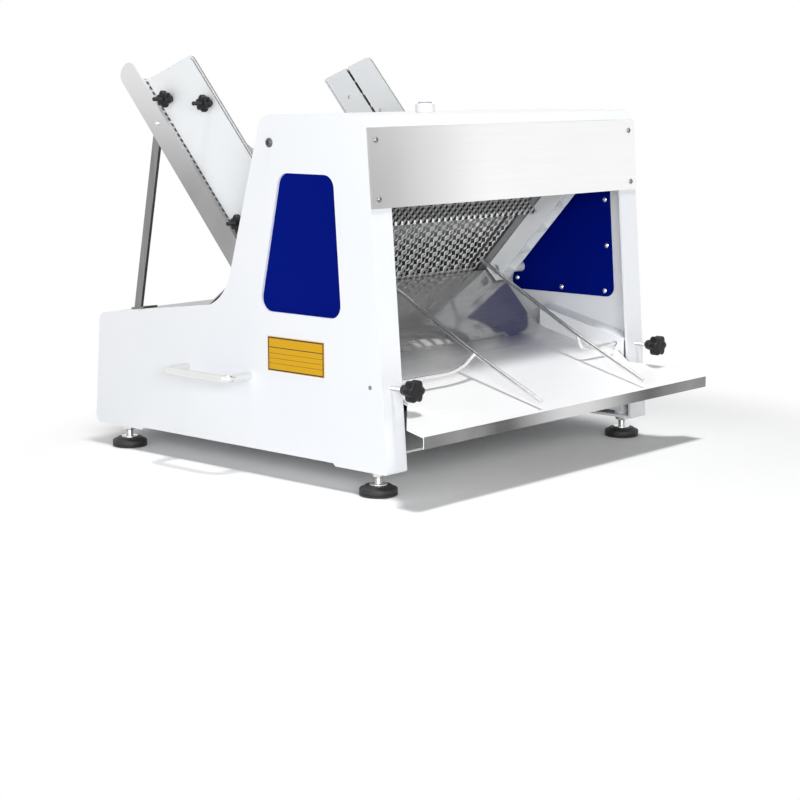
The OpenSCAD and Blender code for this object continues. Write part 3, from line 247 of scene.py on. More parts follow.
def blend_in(mat, factor, colour, rough, metallic=None):
    """Mixes another colour, roughness and metal share into a finish by a 0 to 1 factor."""
    tree = mat.node_tree
    shader = tree.nodes["Principled BSDF"]
    changes = [("Base Color", "RGBA", (*colour, 1)), ("Roughness", "FLOAT", rough)]
    if metallic is not None:
        changes.append(("Metallic", "FLOAT", metallic))
    for socket, kind, value in changes:
        mix = node(tree, "ShaderNodeMix", data_type=kind)
        mix.inputs["B"].default_value = value
        tree.links.new(factor, mix.inputs["Factor"])
        if shader.inputs[socket].is_linked:
            tree.links.new(shader.inputs[socket].links[0].from_socket, mix.inputs["A"])
        else:
            mix.inputs["A"].default_value = shader.inputs[socket].default_value
        tree.links.new(mix.outputs["Result"], shader.inputs[socket])


def fade_along(mat, direction, start, end, colour, rough, metallic=None, mirrored=False):
    """Turns a finish to another tone from start to end along a direction, or to both sides of 0."""
    tree = mat.node_tree
    place = place_along(tree, direction)
    if mirrored:
        place = calc(tree, "ABSOLUTE", place)
    blend_in(mat, ramp(tree, place, start, end, interpolation="SMOOTHSTEP"), colour, rough, metallic)


def reflection_clouds(mat, scale, colour, rough, share):
    """Slow cloudy patches of another tone on sheet steel, as a painted reflection."""
    tree = mat.node_tree
    slow = node(tree, "ShaderNodeTexNoise", Scale=scale, Detail=2.0, Roughness=0.45)
    tree.links.new(object_place(tree), slow.inputs["Vector"])
    blend_in(mat, between(tree, slow.outputs["Fac"], 0.0, share), colour, rough)


def shade_slots(mat, across, reach, half_width, direction, pitch, share):
    """A row of slots painted near-black as painted shade, along a direction, at a reach across it to both
    sides of 0.
    """
    tree = mat.node_tree
    offset = calc(tree, "ABSOLUTE", place_along(tree, across))
    in_row = calc(tree, "COMPARE", offset, reach, half_width)
    step = calc(tree, "FRACT", place_along(tree, direction / pitch))
    in_slot = calc(tree, "MULTIPLY", in_row, calc(tree, "LESS_THAN", step, share))
    blend_in(mat, in_slot, grey(0.03), rough=0.6, metallic=0.0)


# Paint, enamel, plastic, rubber and foil
WHITE_COAT = coated("white_powder_coat", (0.80, 0.82, 0.85), (0.84, 0.855, 0.88), rough=(0.34, 0.44))

BUTTON_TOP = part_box("switch_button")[1].z
BUTTON_COAT = coated("white_button", (0.78, 0.80, 0.82), (0.84, 0.855, 0.87), rough=(0.3, 0.4))
fade_along(BUTTON_COAT, UPWARD, BUTTON_TOP - 2 * MM, BUTTON_TOP - 0.5 * MM, grey(0.25), rough=0.4)


def guide_coat(name):
    return coated(name, (0.80, 0.82, 0.84), (0.84, 0.86, 0.87), rough=(0.32, 0.42))


# The right bread guide has a seam at this height above the chute floor, drawn as a broken dark line of
# painted shade
SEAM_HEIGHT = 47.5 * MM
GUIDE_WHITE = guide_coat("white_guide_coat")
SEAM_WHITE = guide_coat("white_guide_seam")
shade_slots(
    SEAM_WHITE, CHUTE_NORMAL, reach=CHUTE_NORMAL.dot(CHUTE.translation) + SEAM_HEIGHT, half_width=0.0022,
    direction=CHUTE_ALONG, pitch=0.026, share=0.84,
)

BLUE_ENAMEL = coated(
    "royal_blue_enamel", (0.0, 0.005, 0.165), (0.0, 0.007, 0.19), rough=(0.34, 0.44), peel=0.04, shine=0.02,
)
BLACK_MOULDED = coated(
    "black_moulded", (0.007, 0.007, 0.008), (0.014, 0.014, 0.015), rough=(0.28, 0.4),
    peel=0.12, grain=1600.0, shine=0.22,
)
BLACK_RUBBER = coated("black_rubber", grey(0.010), grey(0.020), rough=(0.5, 0.65), peel=0.2, grain=1400.0)
GOLD_FOIL = coated(
    "gold_foil", (0.64, 0.35, 0.010), (0.70, 0.39, 0.014), rough=(0.32, 0.4),
    peel=0.02, metallic=0.1, shine=0.1,
)
PRINT_BLACK = coated("dark_print", (0.015, 0.013, 0.010), (0.03, 0.025, 0.02), rough=(0.35, 0.45), peel=0.02)

# Dull metals: oxide, castings and zinc
DARK_STEEL = coated("dark_steel", (0.10, 0.10, 0.105), (0.15, 0.15, 0.155), rough=(0.35, 0.5), metallic=0.7)
BLACK_OXIDE = coated(
    "black_oxide", (0.012, 0.012, 0.013), grey(0.03), rough=(0.35, 0.5), metallic=0.2, shine=0.25,
)
CAST_GREY = coated(
    "cast_grey", (0.24, 0.245, 0.25), (0.33, 0.335, 0.34), rough=(0.5, 0.62),
    peel=0.3, grain=500.0, metallic=0.4,
)
ZINC_SHEET = coated(
    "zinc_sheet", (0.76, 0.77, 0.78), (0.86, 0.87, 0.88), rough=(0.4, 0.55), drift=60.0, metallic=0.1,
)

# Sheet steel of the fascia, chute, covers, slide and tray
ROLLED_ACROSS = (6.0, 500.0, 500.0)

FASCIA_STEEL = brushed(
    "fascia_stainless", grey(0.90), grey(0.94), rough=(0.32, 0.4), stretch=(5.0, 420.0, 420.0),
    depth=0.01, metallic=0.8,
)
# Painted shade: the fascia darkens towards its left end, and slow duller patches over it are a painted
# reflection
fade_along(FASCIA_STEEL, ACROSS, start=-0.04, end=-0.30, colour=grey(0.44), rough=0.34)
reflection_clouds(FASCIA_STEEL, scale=3.5, colour=grey(0.80), rough=0.36, share=0.5)

CHUTE_STEEL = brushed(
    "chute_stainless", grey(0.32), grey(0.42), rough=(0.3, 0.4), stretch=(400.0, 7.0, 7.0), depth=0.02,
)
# Painted light and shade: the chute steel is dark low down and lighter towards the top, with darker patches
# of painted reflection
reflection_clouds(CHUTE_STEEL, scale=5.0, colour=grey(0.26), rough=0.36, share=0.6)
fade_along(CHUTE_STEEL, UPWARD, start=0.36, end=0.58, colour=grey(0.76), rough=0.36)
# Painted shade: a dashed row of near-black slots along each cheek
shade_slots(
    CHUTE_STEEL, ACROSS, reach=0.2515, half_width=0.0022, direction=CHUTE_ALONG, pitch=0.010, share=0.6,
)

# Painted shade: the struts are a dark steel that stands in for the shade they lie in
STRUT_STEEL = brushed(
    "strut_steel", grey(0.22), grey(0.30), rough=(0.34, 0.44), stretch=(300.0, 300.0, 8.0), depth=0.03,
)
REAR_STEEL = brushed(
    "rear_stainless", grey(0.30), grey(0.40), rough=(0.3, 0.4), stretch=(7.0, 500.0, 500.0), depth=0.02,
)

SLIDE_STEEL = brushed(
    "slide_stainless", (0.50, 0.50, 0.495), (0.58, 0.58, 0.575), rough=(0.09, 0.15), stretch=ROLLED_ACROSS,
    depth=0.004, metallic=0.7,
)
# Painted light: the slide turns to a near-white, dull tone towards its front end
fade_along(SLIDE_STEEL, REARWARD, start=-0.08, end=-0.175, colour=grey(0.95), rough=0.36, metallic=0.1)

# Painted light: the tray's top is a near-white, dull steel
TRAY_STEEL = brushed(
    "tray_stainless", grey(0.90), grey(0.95), rough=(0.36, 0.46), stretch=ROLLED_ACROSS,
    depth=0.02, metallic=0.1,
)

# Painted shade: the tray's front-facing lip is a dark steel, with lighter patches and a lighter middle of
# painted reflection
LIP_STEEL = brushed(
    "lip_stainless", grey(0.12), grey(0.16), rough=(0.26, 0.36), stretch=ROLLED_ACROSS, depth=0.02,
)
reflection_clouds(LIP_STEEL, scale=9.0, colour=grey(0.42), rough=0.3, share=0.6)
fade_along(LIP_STEEL, ACROSS, start=0.16, end=0.01, colour=grey(0.70), rough=0.3, mirrored=True)

# Steel of the blades, frames, combs, wires and fasteners
EVEN_GRAIN = (300.0, 300.0, 300.0)

# Painted light and shade: the blades' flat sides are near-black steel, lighter towards the top, and their
# ground edges a near-white, dull steel as a painted highlight
BLADE_STEEL = brushed(
    "blade_steel", grey(0.07), grey(0.14), rough=(0.20, 0.32), stretch=(900.0, 120.0, 120.0), metallic=0.8,
)
fade_along(BLADE_STEEL, UPWARD, start=0.29, end=0.36, colour=grey(0.60), rough=0.3, metallic=0.5)
GROUND_EDGE = brushed(
    "ground_edge", grey(0.96), grey(0.99), rough=(0.2, 0.3), stretch=(300.0, 900.0, 900.0), metallic=0.1,
)
# Painted shade: the blade frames are a dark steel that stands in for the shade they lie in
FRAME_STEEL = brushed(
    "frame_steel", (0.26, 0.26, 0.265), grey(0.36), rough=(0.34, 0.46), stretch=(90.0, 90.0, 90.0),
    depth=0.03,
)
COMB_STEEL = brushed(
    "comb_steel", grey(0.80), grey(0.90), rough=(0.22, 0.32), stretch=(60.0, 300.0, 300.0), depth=0.02,
)
TOOTHED_STEEL = brushed(
    "toothed_steel", grey(0.84), grey(0.94), rough=(0.24, 0.34), stretch=(60.0, 300.0, 300.0), metallic=0.4,
)
# Painted shade: near-black stripes across the sides of the combs stand for the shaded gaps between their
# teeth
shade_slots(
    TOOTHED_STEEL, ACROSS, reach=0.0, half_width=1.0, direction=CURTAIN_DEPTH, pitch=0.0075, share=0.5,
)
EDGE_STEEL = brushed("cut_edge", grey(0.26), grey(0.36), rough=(0.34, 0.46), stretch=EVEN_GRAIN, depth=0.02)
SCREW_GREY = brushed(
    "screw_grey", grey(0.20), grey(0.34), rough=(0.3, 0.42), stretch=(260.0, 260.0, 260.0), depth=0.04,
)
HANDLE_STEEL = brushed(
    "handle_steel", grey(0.80), grey(0.86), rough=(0.06, 0.12), stretch=(30.0, 4.0, 30.0), depth=0.003,
)
WIRE_STEEL = brushed(
    "wire_steel", grey(0.72), grey(0.84), rough=(0.12, 0.2), stretch=EVEN_GRAIN, depth=0.02, metallic=0.9,
)
BRIGHT_STEEL = brushed(
    "bright_rod", (0.66, 0.66, 0.665), grey(0.78), rough=(0.1, 0.2), stretch=EVEN_GRAIN, depth=0.02,
)

# Finish of a node by its slot: of the stainless ones only the base pan has no piece of its own
FINISH = {
    "white_paint": WHITE_COAT,
    "blue_paint": BLUE_ENAMEL,
    "black_plastic": BLACK_MOULDED,
    "black_rubber": BLACK_RUBBER,
    "stainless": ZINC_SHEET,
    "blade_steel": BLADE_STEEL,
    "bright_steel": BRIGHT_STEEL,
    "dark_steel": DARK_STEEL,
    "cast_grey": CAST_GREY,
    "gold_plate": GOLD_FOIL,
}

for name, obj in frame["nodes"].items():
    obj.data.materials.clear()
    obj.data.materials.append(FINISH[NODE_SLOT[name]])


# Mesh helpers
MERGE_DISTANCE = 2e-6
LATHE_MERGE_DISTANCE = 1e-7
FLAT_ANGLE = math.radians(0.4)
CRISP_ANGLE = math.radians(30)
EDGE_SEGMENTS = 2
RING_POINTS = 96


def piece(name, bm, node_name, materials, sharp=35):
    """Closes a bmesh into a piece that stands for a CAD node and moves with its body."""
    mesh = bpy.data.meshes.new(name)
    bm.to_mesh(mesh)
    bm.free()
    for p in mesh.polygons:
        p.use_smooth = True
    mesh.set_sharp_from_angle(angle=math.radians(sharp))
    for m in materials:
        mesh.materials.append(m)
    obj = bpy.data.objects.new(name, mesh)
    bpy.context.scene.collection.objects.link(obj)
    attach(obj, NODE_BODY[node_name])
    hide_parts(node_name)
    return obj


def second_finish(faces, chosen):
    """Gives the chosen faces of a piece its second finish and the others its first."""
    for face in faces:
        face.material_index = 1 if chosen(face) else 0


def outward(bm):
    """Turns the faces of a closed bmesh outwards."""
    bmesh.ops.recalc_face_normals(bm, faces=bm.faces)
    return bm


def softened(node_name, width, *finishes):
    """A copy of a CAD node with its sheet edges rounded off, in its slot's finish if none is given."""
    bm = bmesh.new()
    bm.from_mesh(frame["nodes"][node_name].data)
    bmesh.ops.remove_doubles(bm, verts=bm.verts, dist=MERGE_DISTANCE)
    bmesh.ops.dissolve_limit(bm, angle_limit=FLAT_ANGLE, verts=bm.verts, edges=bm.edges)
    crisp = [e for e in bm.edges if len(e.link_faces) == 2 and e.calc_face_angle(0) > CRISP_ANGLE]
    bmesh.ops.bevel(
        bm, geom=crisp, offset=width * MM, offset_type="OFFSET", affect="EDGES", segments=EDGE_SEGMENTS,
        profile=0.5, material=-1, clamp_overlap=True, loop_slide=True,
    )
    for f in bm.faces:
        f.material_index = 0
    obj = piece("soft_" + node_name, bm, node_name, finishes or [FINISH[NODE_SLOT[node_name]]])
    even = obj.modifiers.new("even_faces", "WEIGHTED_NORMAL")
    even.keep_sharp = True
    even.weight = 100
    return obj


def lathe(bm, profile, place, steps=64):
    """Spins a [radius, height] profile in millimetres about the Z axis of place."""
    verts = [bm.verts.new((r * MM, 0, z * MM)) for r, z in profile]
    edges = [bm.edges.new(pair) for pair in zip(verts, verts[1:])]
    bmesh.ops.spin(
        bm, geom=verts + edges, axis=(0, 0, 1), cent=(0, 0, 0), angle=math.tau, steps=steps, use_merge=True,
    )
    spun = [v for v in bm.verts if not v.tag]
    bmesh.ops.remove_doubles(bm, verts=spun, dist=LATHE_MERGE_DISTANCE)
    made = [v for v in bm.verts if not v.tag]
    bmesh.ops.transform(bm, matrix=place, verts=made)
    for v in made:
        v.tag = True


def next_ring(bm, ring):
    """Extrudes a closed ring of vertices and gives the new ring in the same order."""
    edges = [bm.edges.get(pair) for pair in zip(ring, ring[1:] + ring[:1])]
    below = set(ring)
    above = {}
    for v in bmesh.ops.extrude_edge_only(bm, edges=edges)["geom"]:
        if isinstance(v, bmesh.types.BMVert):
            for e in v.link_edges:
                if e.other_vert(v) in below:
                    above[e.other_vert(v)] = v
    return [above[v] for v in ring]


def ring_stack(bm, rings, place):
    """Lofts rings of [height, radius at an angle] upwards and closes both ends."""
    ring = list(bmesh.ops.create_circle(bm, cap_ends=True, segments=RING_POINTS, radius=1.0)["verts"])
    angles = [math.atan2(v.co.y, v.co.x) for v in ring]
    made = []
    for height, radius in rings:
        if made:
            ring = next_ring(bm, ring)
        for v, a in zip(ring, angles):
            r = radius(a) * MM
            v.co = (r * math.cos(a), r * math.sin(a), height * MM)
        made += ring
    bm.faces.new(ring)
    bmesh.ops.transform(bm, matrix=place, verts=made)
    for v in made:
        v.tag = True


# Sheet metal and castings: rounding of their edges, then finishes where they differ from the slot's
FASCIA_SCREWS_Y = -0.195
FACING = 0.6
SOFT_NODES = (
    ("left_side_panel", 1.6),
    ("right_side_panel", 1.6),
    ("left_window_plate", 0.5),
    ("right_window_plate", 0.5),
    ("top_cover", 0.4),
    ("outlet_skirts", 0.6),
    ("foot_lock_nuts", 0.5),
    ("tie_bolts", 0.4),
    ("frame_fasteners", 0.3),
    ("switch_housing", 0.8),
    ("cable_gland", 0.5),
    ("front_fascia", 0.6, FASCIA_STEEL),
    ("switch_button", 1.0, BUTTON_COAT),
    ("rear_cover", 0.5, REAR_STEEL),
    ("side_handles", 0.2, HANDLE_STEEL),
    ("panel_screws", 0.25, BRIGHT_STEEL, SCREW_GREY),
    ("upper_comb", 0.3, COMB_STEEL, TOOTHED_STEEL),
    ("lower_comb", 0.5, COMB_STEEL, TOOTHED_STEEL),
    ("front_blade_frame", 0.8, FRAME_STEEL),
    ("rear_blade_frame", 0.8, FRAME_STEEL),
    ("outlet_slide", 0.3, SLIDE_STEEL),
    ("outlet_tray", 0.4, TRAY_STEEL, LIP_STEEL),
    ("chute_floor", 0.4, CHUTE_STEEL),
    ("chute_struts", 0.8, STRUT_STEEL),
    ("left_bread_guide", 0.7, GUIDE_WHITE, EDGE_STEEL),
    ("right_bread_guide", 0.7, SEAM_WHITE, EDGE_STEEL),
    ("left_guide_bar", 1.2, GUIDE_WHITE),
    ("right_guide_bar", 1.2, GUIDE_WHITE),
)


def on_fascia(face):
    return face.center.y < FASCIA_SCREWS_Y


def faces_sideways(face):
    return abs(face.normal.x) > FACING


def faces_front(face):
    return face.normal.y < -FACING


def faces_off_chute(face):
    return face.normal.dot(CHUTE_NORMAL) > FACING


SECOND_FACES = {
    "panel_screws": on_fascia,
    "upper_comb": faces_sideways,
    "lower_comb": faces_sideways,
    "outlet_tray": faces_front,
    "left_bread_guide": faces_off_chute,
    "right_bread_guide": faces_off_chute,
}

for name, width, *finishes in SOFT_NODES:
    soft = softened(name, width, *finishes)
    if name in SECOND_FACES:
        second_finish(soft.data.polygons, SECOND_FACES[name])

# Star knobs
KNOB_LOBES = 6
KNOB_WAIST = 0.78
KNOB_CORE = 0.7


def plain(radius):
    return lambda a: radius


def star_rings(full, hub, head, recess):
    """Rings of a star knob: radius over its lobes, heights of hub and head, radius of the recess on top."""
    waist, swell = full * KNOB_WAIST, full * (1 - KNOB_WAIST)

    def lobed(share):
        return lambda a: share * (waist + swell * (0.5 + 0.5 * math.cos(KNOB_LOBES * a)) ** 0.8)

    top = hub + head
    core = full * KNOB_CORE
    return [
        (0.0, plain(core * 0.58)), (0.6, plain(core * 0.62)), (hub * 0.65, plain(core * 0.76)),
        (hub - 0.4, plain(core * 0.86)), (hub + 0.2, lobed(0.84)), (hub + 1.2, lobed(0.95)),
        (hub + 2.6, lobed(1.0)), (top - 2.8, lobed(1.0)), (top - 1.4, lobed(0.95)),
        (top - 0.4, lobed(0.84)), (top, lobed(0.68)), (top, plain(core * 0.56)),
        (top - 0.8, plain(core * 0.5)), (top - 0.8, plain(recess)),
    ]


# Knobs of the bread guides: side, sign, face of the guide and level of its upper studs
GUIDES = (("left", -1, 244.0, 82.0), ("right", 1, 130.0, 60.0))
LOWER_LEVEL = 22.0
STUD_PLACES = {"low_front": 82, "high_front": 34, "low_rear": 312, "high_rear": 252}
STUD_R = 3.0
STUD_LENGTH = 40.0
STUD_SINK = 0.5
STUD_STEPS = 32
PAINTED_END = 1.2
KNOB_SEAT = 6.4
BORE_R = 3.08
BORE_DEPTH = 2.0
BORE_TAPER = 0.02
KNOB_HUB, KNOB_HEAD = 8.0, 11.0
GUIDE_KNOB = star_rings(full=12.6, hub=KNOB_HUB, head=KNOB_HEAD, recess=BORE_R)
GUIDE_KNOB.append((KNOB_HUB + KNOB_HEAD - BORE_DEPTH, plain(BORE_R - BORE_TAPER)))


def stud_spot(sign, x, label, upper):
    """Place of a stud or knob on a bread guide, with Z away from the loaf."""
    level = upper if label.startswith("high") else LOWER_LEVEL
    turn = Matrix.Rotation(math.radians(90 * sign), 4, "Y")
    return CHUTE @ Matrix.Translation(Vector((sign * x, STUD_PLACES[label], level)) * MM) @ turn


for side, sign, face_x, upper in GUIDES:
    for label in STUD_PLACES:
        bm = bmesh.new()
        ring_stack(bm, GUIDE_KNOB, stud_spot(sign, face_x + KNOB_SEAT, label, upper))
        piece(f"star_{side}_knob_{label}", outward(bm), f"{side}_knob_{label}", [BLACK_MOULDED])

# Threaded studs of the bread guides, with painted ends in the guides' faces
THREAD_PITCH = 1.0
THREAD_CORE = 0.86
ROD_CHAMFER = 0.7


def threaded(radius, start, length, pitch=THREAD_PITCH):
    """Profile of a threaded rod with chamfered ends."""
    turns = int(length / pitch) - 1
    rows = [(0.0, start), (radius * ROD_CHAMFER, start)]
    for k in range(turns):
        z = start + pitch * (k + 0.5)
        rows += [(radius * THREAD_CORE, z), (radius, z + pitch * 0.5)]
    return rows + [(radius * ROD_CHAMFER, start + length), (0.0, start + length)]


for side, sign, face_x, upper in GUIDES:
    bm = bmesh.new()
    for label in STUD_PLACES:
        spot = stud_spot(sign, face_x + STUD_SINK, label, upper)
        lathe(bm, threaded(STUD_R, 0.0, STUD_LENGTH), spot, STUD_STEPS)
    painted_x = (face_x + PAINTED_END) * MM
    second_finish(bm.faces, lambda face: sign * face.calc_center_median().x < painted_x)
    piece(f"{side}_threaded_studs", outward(bm), f"{side}_guide_studs", [BLACK_OXIDE, GUIDE_WHITE])

# Clamp knobs on the panels' fronts, closed on top, each on a stud that reaches back to its rod
CLAMP_X = 282
CLAMP_Y = -48
ROD_Z = 148
CLAMP_STUD_START = -39.1
CLAMP_STUD_TOP = -0.1 * MM
CLAMP_KNOB = star_rings(full=15.8, hub=11.0, head=16.0, recess=2.0)
for side, sign in SIDES:
    bm = bmesh.new()
    spot = Matrix.Translation(at(sign * CLAMP_X, CLAMP_Y, ROD_Z)) @ Matrix.Rotation(math.pi / 2, 4, "X")
    ring_stack(bm, CLAMP_KNOB, spot)
    lathe(bm, threaded(STUD_R, CLAMP_STUD_START, STUD_LENGTH), spot, STUD_STEPS)
    to_knob = spot.inverted()
    second_finish(bm.faces, lambda face: (to_knob @ face.calc_center_median()).z < CLAMP_STUD_TOP)
    piece(f"{side}_star_clamp", outward(bm), f"{side}_clamp_knob", [BLACK_MOULDED, BRIGHT_STEEL])

# Levelling feet: ribbed rubber pad, washer plate and threaded stud
FOOT_X = 282
FOOT_ROWS = (("front", -4), ("rear", 508))
FOOT_PAD = [
    (0, 0), (23.0, 0), (25.4, 0.7), (26.0, 1.8), (26.0, 3.4), (25.2, 3.8), (25.2, 4.4), (26.0, 4.8),
    (26.0, 9.0), (25.4, 10.2), (20.0, 12.6), (18.4, 14.0), (6.02, 14.0), (6.02, 13.0), (0, 13.0),
]
FOOT_STUD_R = 6.0
FOOT_STUD_START = 16.0
FOOT_STUD_LENGTH = 50.0
FOOT_STUD_PITCH = 1.75
FOOT_STUD = threaded(FOOT_STUD_R, FOOT_STUD_START, FOOT_STUD_LENGTH, FOOT_STUD_PITCH)
FOOT_STEEL = [
    (0, 14.05), (12.4, 14.05), (12.5, 14.4), (12.2, 15.8), (11.6, FOOT_STUD_START),
    (FOOT_STUD_R, FOOT_STUD_START), *FOOT_STUD[2:],
]
for row, y in FOOT_ROWS:
    for side, sign in SIDES:
        bm = bmesh.new()
        spot = Matrix.Translation(at(sign * FOOT_X, y, 0))
        lathe(bm, FOOT_PAD, spot)
        pad = set(bm.faces)
        lathe(bm, FOOT_STEEL, spot)
        second_finish(bm.faces, lambda face: face not in pad)
        label = f"{row}_{side}"
        piece(f"levelling_foot_{label}", outward(bm), f"foot_{label}", [BLACK_RUBBER, BRIGHT_STEEL])

# Blades: one scalloped strip, lofted along its length and repeated over the set
BLADE_LOW, BLADE_HIGH = -84.0, 151.97
BLADE_WIDTH = 10.0
BLADE_HALF = 0.35
EDGE_HALF = 0.04
TOOTH = 12.0
TOOTH_STEPS = 8
TOOTH_DIP = 1.3
GROUND_LEAST = 0.4
GROUND_SWELL = 2.6
PLAIN_STEPS = 3
PLAIN_GROUND = 0.3
SET_PITCH = 26.8
FRAME_INSET = 1.0
FLAT_SIDE = 0.995
BLADE_SHARP = 12


def blade_strip(near):
    """A strip with ground, scalloped edges, whose near edge lies at depth near."""
    bm = bmesh.new()
    count = int((BLADE_HIGH - BLADE_LOW) / TOOTH * TOOTH_STEPS)
    step = (BLADE_HIGH - BLADE_LOW) / count

    def section(k):
        wave = 0.5 - 0.5 * math.cos(math.tau * k / TOOTH_STEPS)
        plain_end = k < PLAIN_STEPS or k > count - PLAIN_STEPS
        dip = 0.0 if plain_end else TOOTH_DIP * wave ** 0.6
        ground = PLAIN_GROUND if plain_end else GROUND_SWELL * wave ** 0.5 + GROUND_LEAST
        low, high = near + dip, near + BLADE_WIDTH - dip
        rows = [
            (-BLADE_HALF, low + ground), (-BLADE_HALF, high - ground), (-EDGE_HALF, high), (EDGE_HALF, high),
            (BLADE_HALF, high - ground), (BLADE_HALF, low + ground), (EDGE_HALF, low), (-EDGE_HALF, low),
        ]
        return [Vector((x, depth, BLADE_LOW + k * step)) * MM for x, depth in rows]

    ring = [bm.verts.new(place) for place in section(0)]
    bm.faces.new(ring)
    for k in range(1, count + 1):
        ring = next_ring(bm, ring)
        for v, place in zip(ring, section(k)):
            v.co = place
    bm.faces.new(ring)
    return bm


def blade_set(node_name, number, depth):
    """A set of blades side by side: ground edges bright with painted highlight, plain flat sides and ends
    dark with painted shade.
    """
    bm = outward(blade_strip(depth + FRAME_INSET))
    second_finish(bm.faces, lambda face: abs(face.normal.x) <= FLAT_SIDE and len(face.verts) <= 4)
    first = bm.verts[:] + bm.edges[:] + bm.faces[:]
    for i in range(1, number):
        copy = bmesh.ops.duplicate(bm, geom=first)["geom"]
        verts = [v for v in copy if isinstance(v, bmesh.types.BMVert)]
        bmesh.ops.translate(bm, vec=ACROSS * (SET_PITCH * i * MM), verts=verts)
    bmesh.ops.translate(bm, vec=ACROSS * (-SET_PITCH / 2 * (number - 1) * MM), verts=bm.verts)
    bmesh.ops.transform(bm, matrix=CURTAIN, verts=bm.verts)
    piece("scalloped_" + node_name, bm, node_name, [BLADE_STEEL, GROUND_EDGE], BLADE_SHARP)


blade_set("front_blades", number=16, depth=28.4)
blade_set("rear_blades", number=15, depth=41.2)

# Bent wire guides: side, sign, distance from the middle and reach of the rising part of the cross rod
WIRES = (("left", -1, 77.0, 75.0), ("right", 1, 168.0, 10.0))
WIRE_R = 3.0
WIRE_BEND = 60 * MM
ROD_BEND = 16 * MM
BEND_STEPS = 8
BEND_SHARE = 0.45
ROD_END = 300
ROD_AXIS = (-5.6, ROD_Z)
ROD_RISE = (-3.4, 154)
ROD_JOINT = (0, 168.5)
RISE_START, RISE_MIDDLE = 0.78, 0.36
WIRE_TIP = (-120, 113.95)
WIRE_KNEE = (0, 169)
WIRE_TOP = (14, 2)
CAP_X = 299.2 * MM
RIM_ANGLE = 1.0
RIM_ROUNDING = 0.7 * MM


def rounded_path(points, radius):
    """Points of a bent rod whose elbows are drawn to a radius."""
    path = [points[0]]
    for a, b, c in zip(points, points[1:], points[2:]):
        u, v = a - b, c - b
        reach = min(radius, u.length * BEND_SHARE, v.length * BEND_SHARE)
        start, end = b + u.normalized() * reach, b + v.normalized() * reach
        for k in range(BEND_STEPS + 1):
            f = k / BEND_STEPS
            path.append(start.lerp(b, f).lerp(b.lerp(end, f), f))
    return path + [points[-1]]


def rod_mesh(paths, radius):
    """A bmesh of round rods drawn along paths, with softened ends."""
    curve = bpy.data.curves.new("rod_path", "CURVE")
    curve.dimensions = "3D"
    curve.bevel_depth = radius * MM
    curve.bevel_resolution = 6
    curve.use_fill_caps = True
    for path in paths:
        spline = curve.splines.new("POLY")
        spline.points.add(len(path) - 1)
        for point, place in zip(spline.points, path):
            point.co = (*place, 1)
    obj = bpy.data.objects.new("rod_path", curve)
    bpy.context.scene.collection.objects.link(obj)
    mesh = bpy.data.meshes.new_from_object(obj.evaluated_get(bpy.context.evaluated_depsgraph_get()))
    bm = bmesh.new()
    bm.from_mesh(mesh)
    bpy.data.objects.remove(obj)
    bpy.data.curves.remove(curve)
    bpy.data.meshes.remove(mesh)
    rims = [e for e in bm.edges if len(e.link_faces) == 2 and e.calc_face_angle(0) > RIM_ANGLE]
    bmesh.ops.bevel(
        bm, geom=rims, offset=RIM_ROUNDING, affect="EDGES", segments=EDGE_SEGMENTS,
        profile=0.5, material=-1, clamp_overlap=True,
    )
    return bm


for side, sign, x, brace in WIRES:
    top = CURTAIN @ (Vector((sign * x, *WIRE_TOP)) * MM)
    guide = [at(sign * x, *WIRE_TIP), at(sign * x, *WIRE_KNEE), top]
    cross = [
        at(sign * ROD_END, *ROD_AXIS), at(sign * (x + brace * RISE_START), *ROD_AXIS),
        at(sign * (x + brace * RISE_MIDDLE), *ROD_RISE), at(sign * x, *ROD_JOINT),
    ]
    bm = rod_mesh([rounded_path(guide, WIRE_BEND), rounded_path(cross, ROD_BEND)], WIRE_R)
    second_finish(bm.faces, lambda face: abs(face.calc_center_median().x) > CAP_X)
    piece(f"{side}_bent_wire", outward(bm), f"{side}_wire_guide", [WIRE_STEEL, SCREW_GREY])

# Rating plate: foil with a printed frame, a head bar and ruled lines
PLATE_SIZE = Vector((0.8, 108, 48)) * MM
PLATE_CENTRE = at(-300.4, 132, 176)
FRAME_Y, FRAME_Z = 53.3, 23.3
UPRIGHTS = [(-FRAME_Y, -51.4), (51.4, FRAME_Y)]
ROWS = [(-FRAME_Z, -21.4), (21.4, FRAME_Z), (-13.4, -12.9), (-6.4, -5.9), (0.6, 1.1), (8.4, 9.6)]


def printed(face):
    """Whether a face of the plate's front lies in one of the printed bars."""
    c = face.calc_center_median() / MM
    inside = abs(c.y) < FRAME_Y and abs(c.z) < FRAME_Z
    ruled = any(a < c.y < b for a, b in UPRIGHTS) or any(a < c.z < b for a, b in ROWS)
    return inside and ruled and face.normal.x < -FACING


bm = bmesh.new()
bmesh.ops.create_cube(bm, size=1.0)
bmesh.ops.scale(bm, vec=PLATE_SIZE, verts=bm.verts)
for axis, bars in ((REARWARD, UPRIGHTS), (UPWARD, ROWS)):
    for cut in [edge for bar in bars for edge in bar]:
        geom = bm.verts[:] + bm.edges[:] + bm.faces[:]
        bmesh.ops.bisect_plane(bm, geom=geom, plane_co=axis * (cut * MM), plane_no=axis)
second_finish(bm.faces, printed)
bmesh.ops.translate(bm, vec=PLATE_CENTRE, verts=bm.verts)
piece("bare_rating_plate", bm, "rating_plate", [GOLD_FOIL, PRINT_BLACK])

# Studio
scene = bpy.context.scene
scene.view_settings.view_transform = "Standard"

# Floor: it keeps the shadow near the machine and fades to white paper further out
FLOOR_SIZE = 30.0
SHADOW_CENTRE = (0.06, -0.12, 0.0)
PAPER_START, PAPER_END = 0.48, 0.74

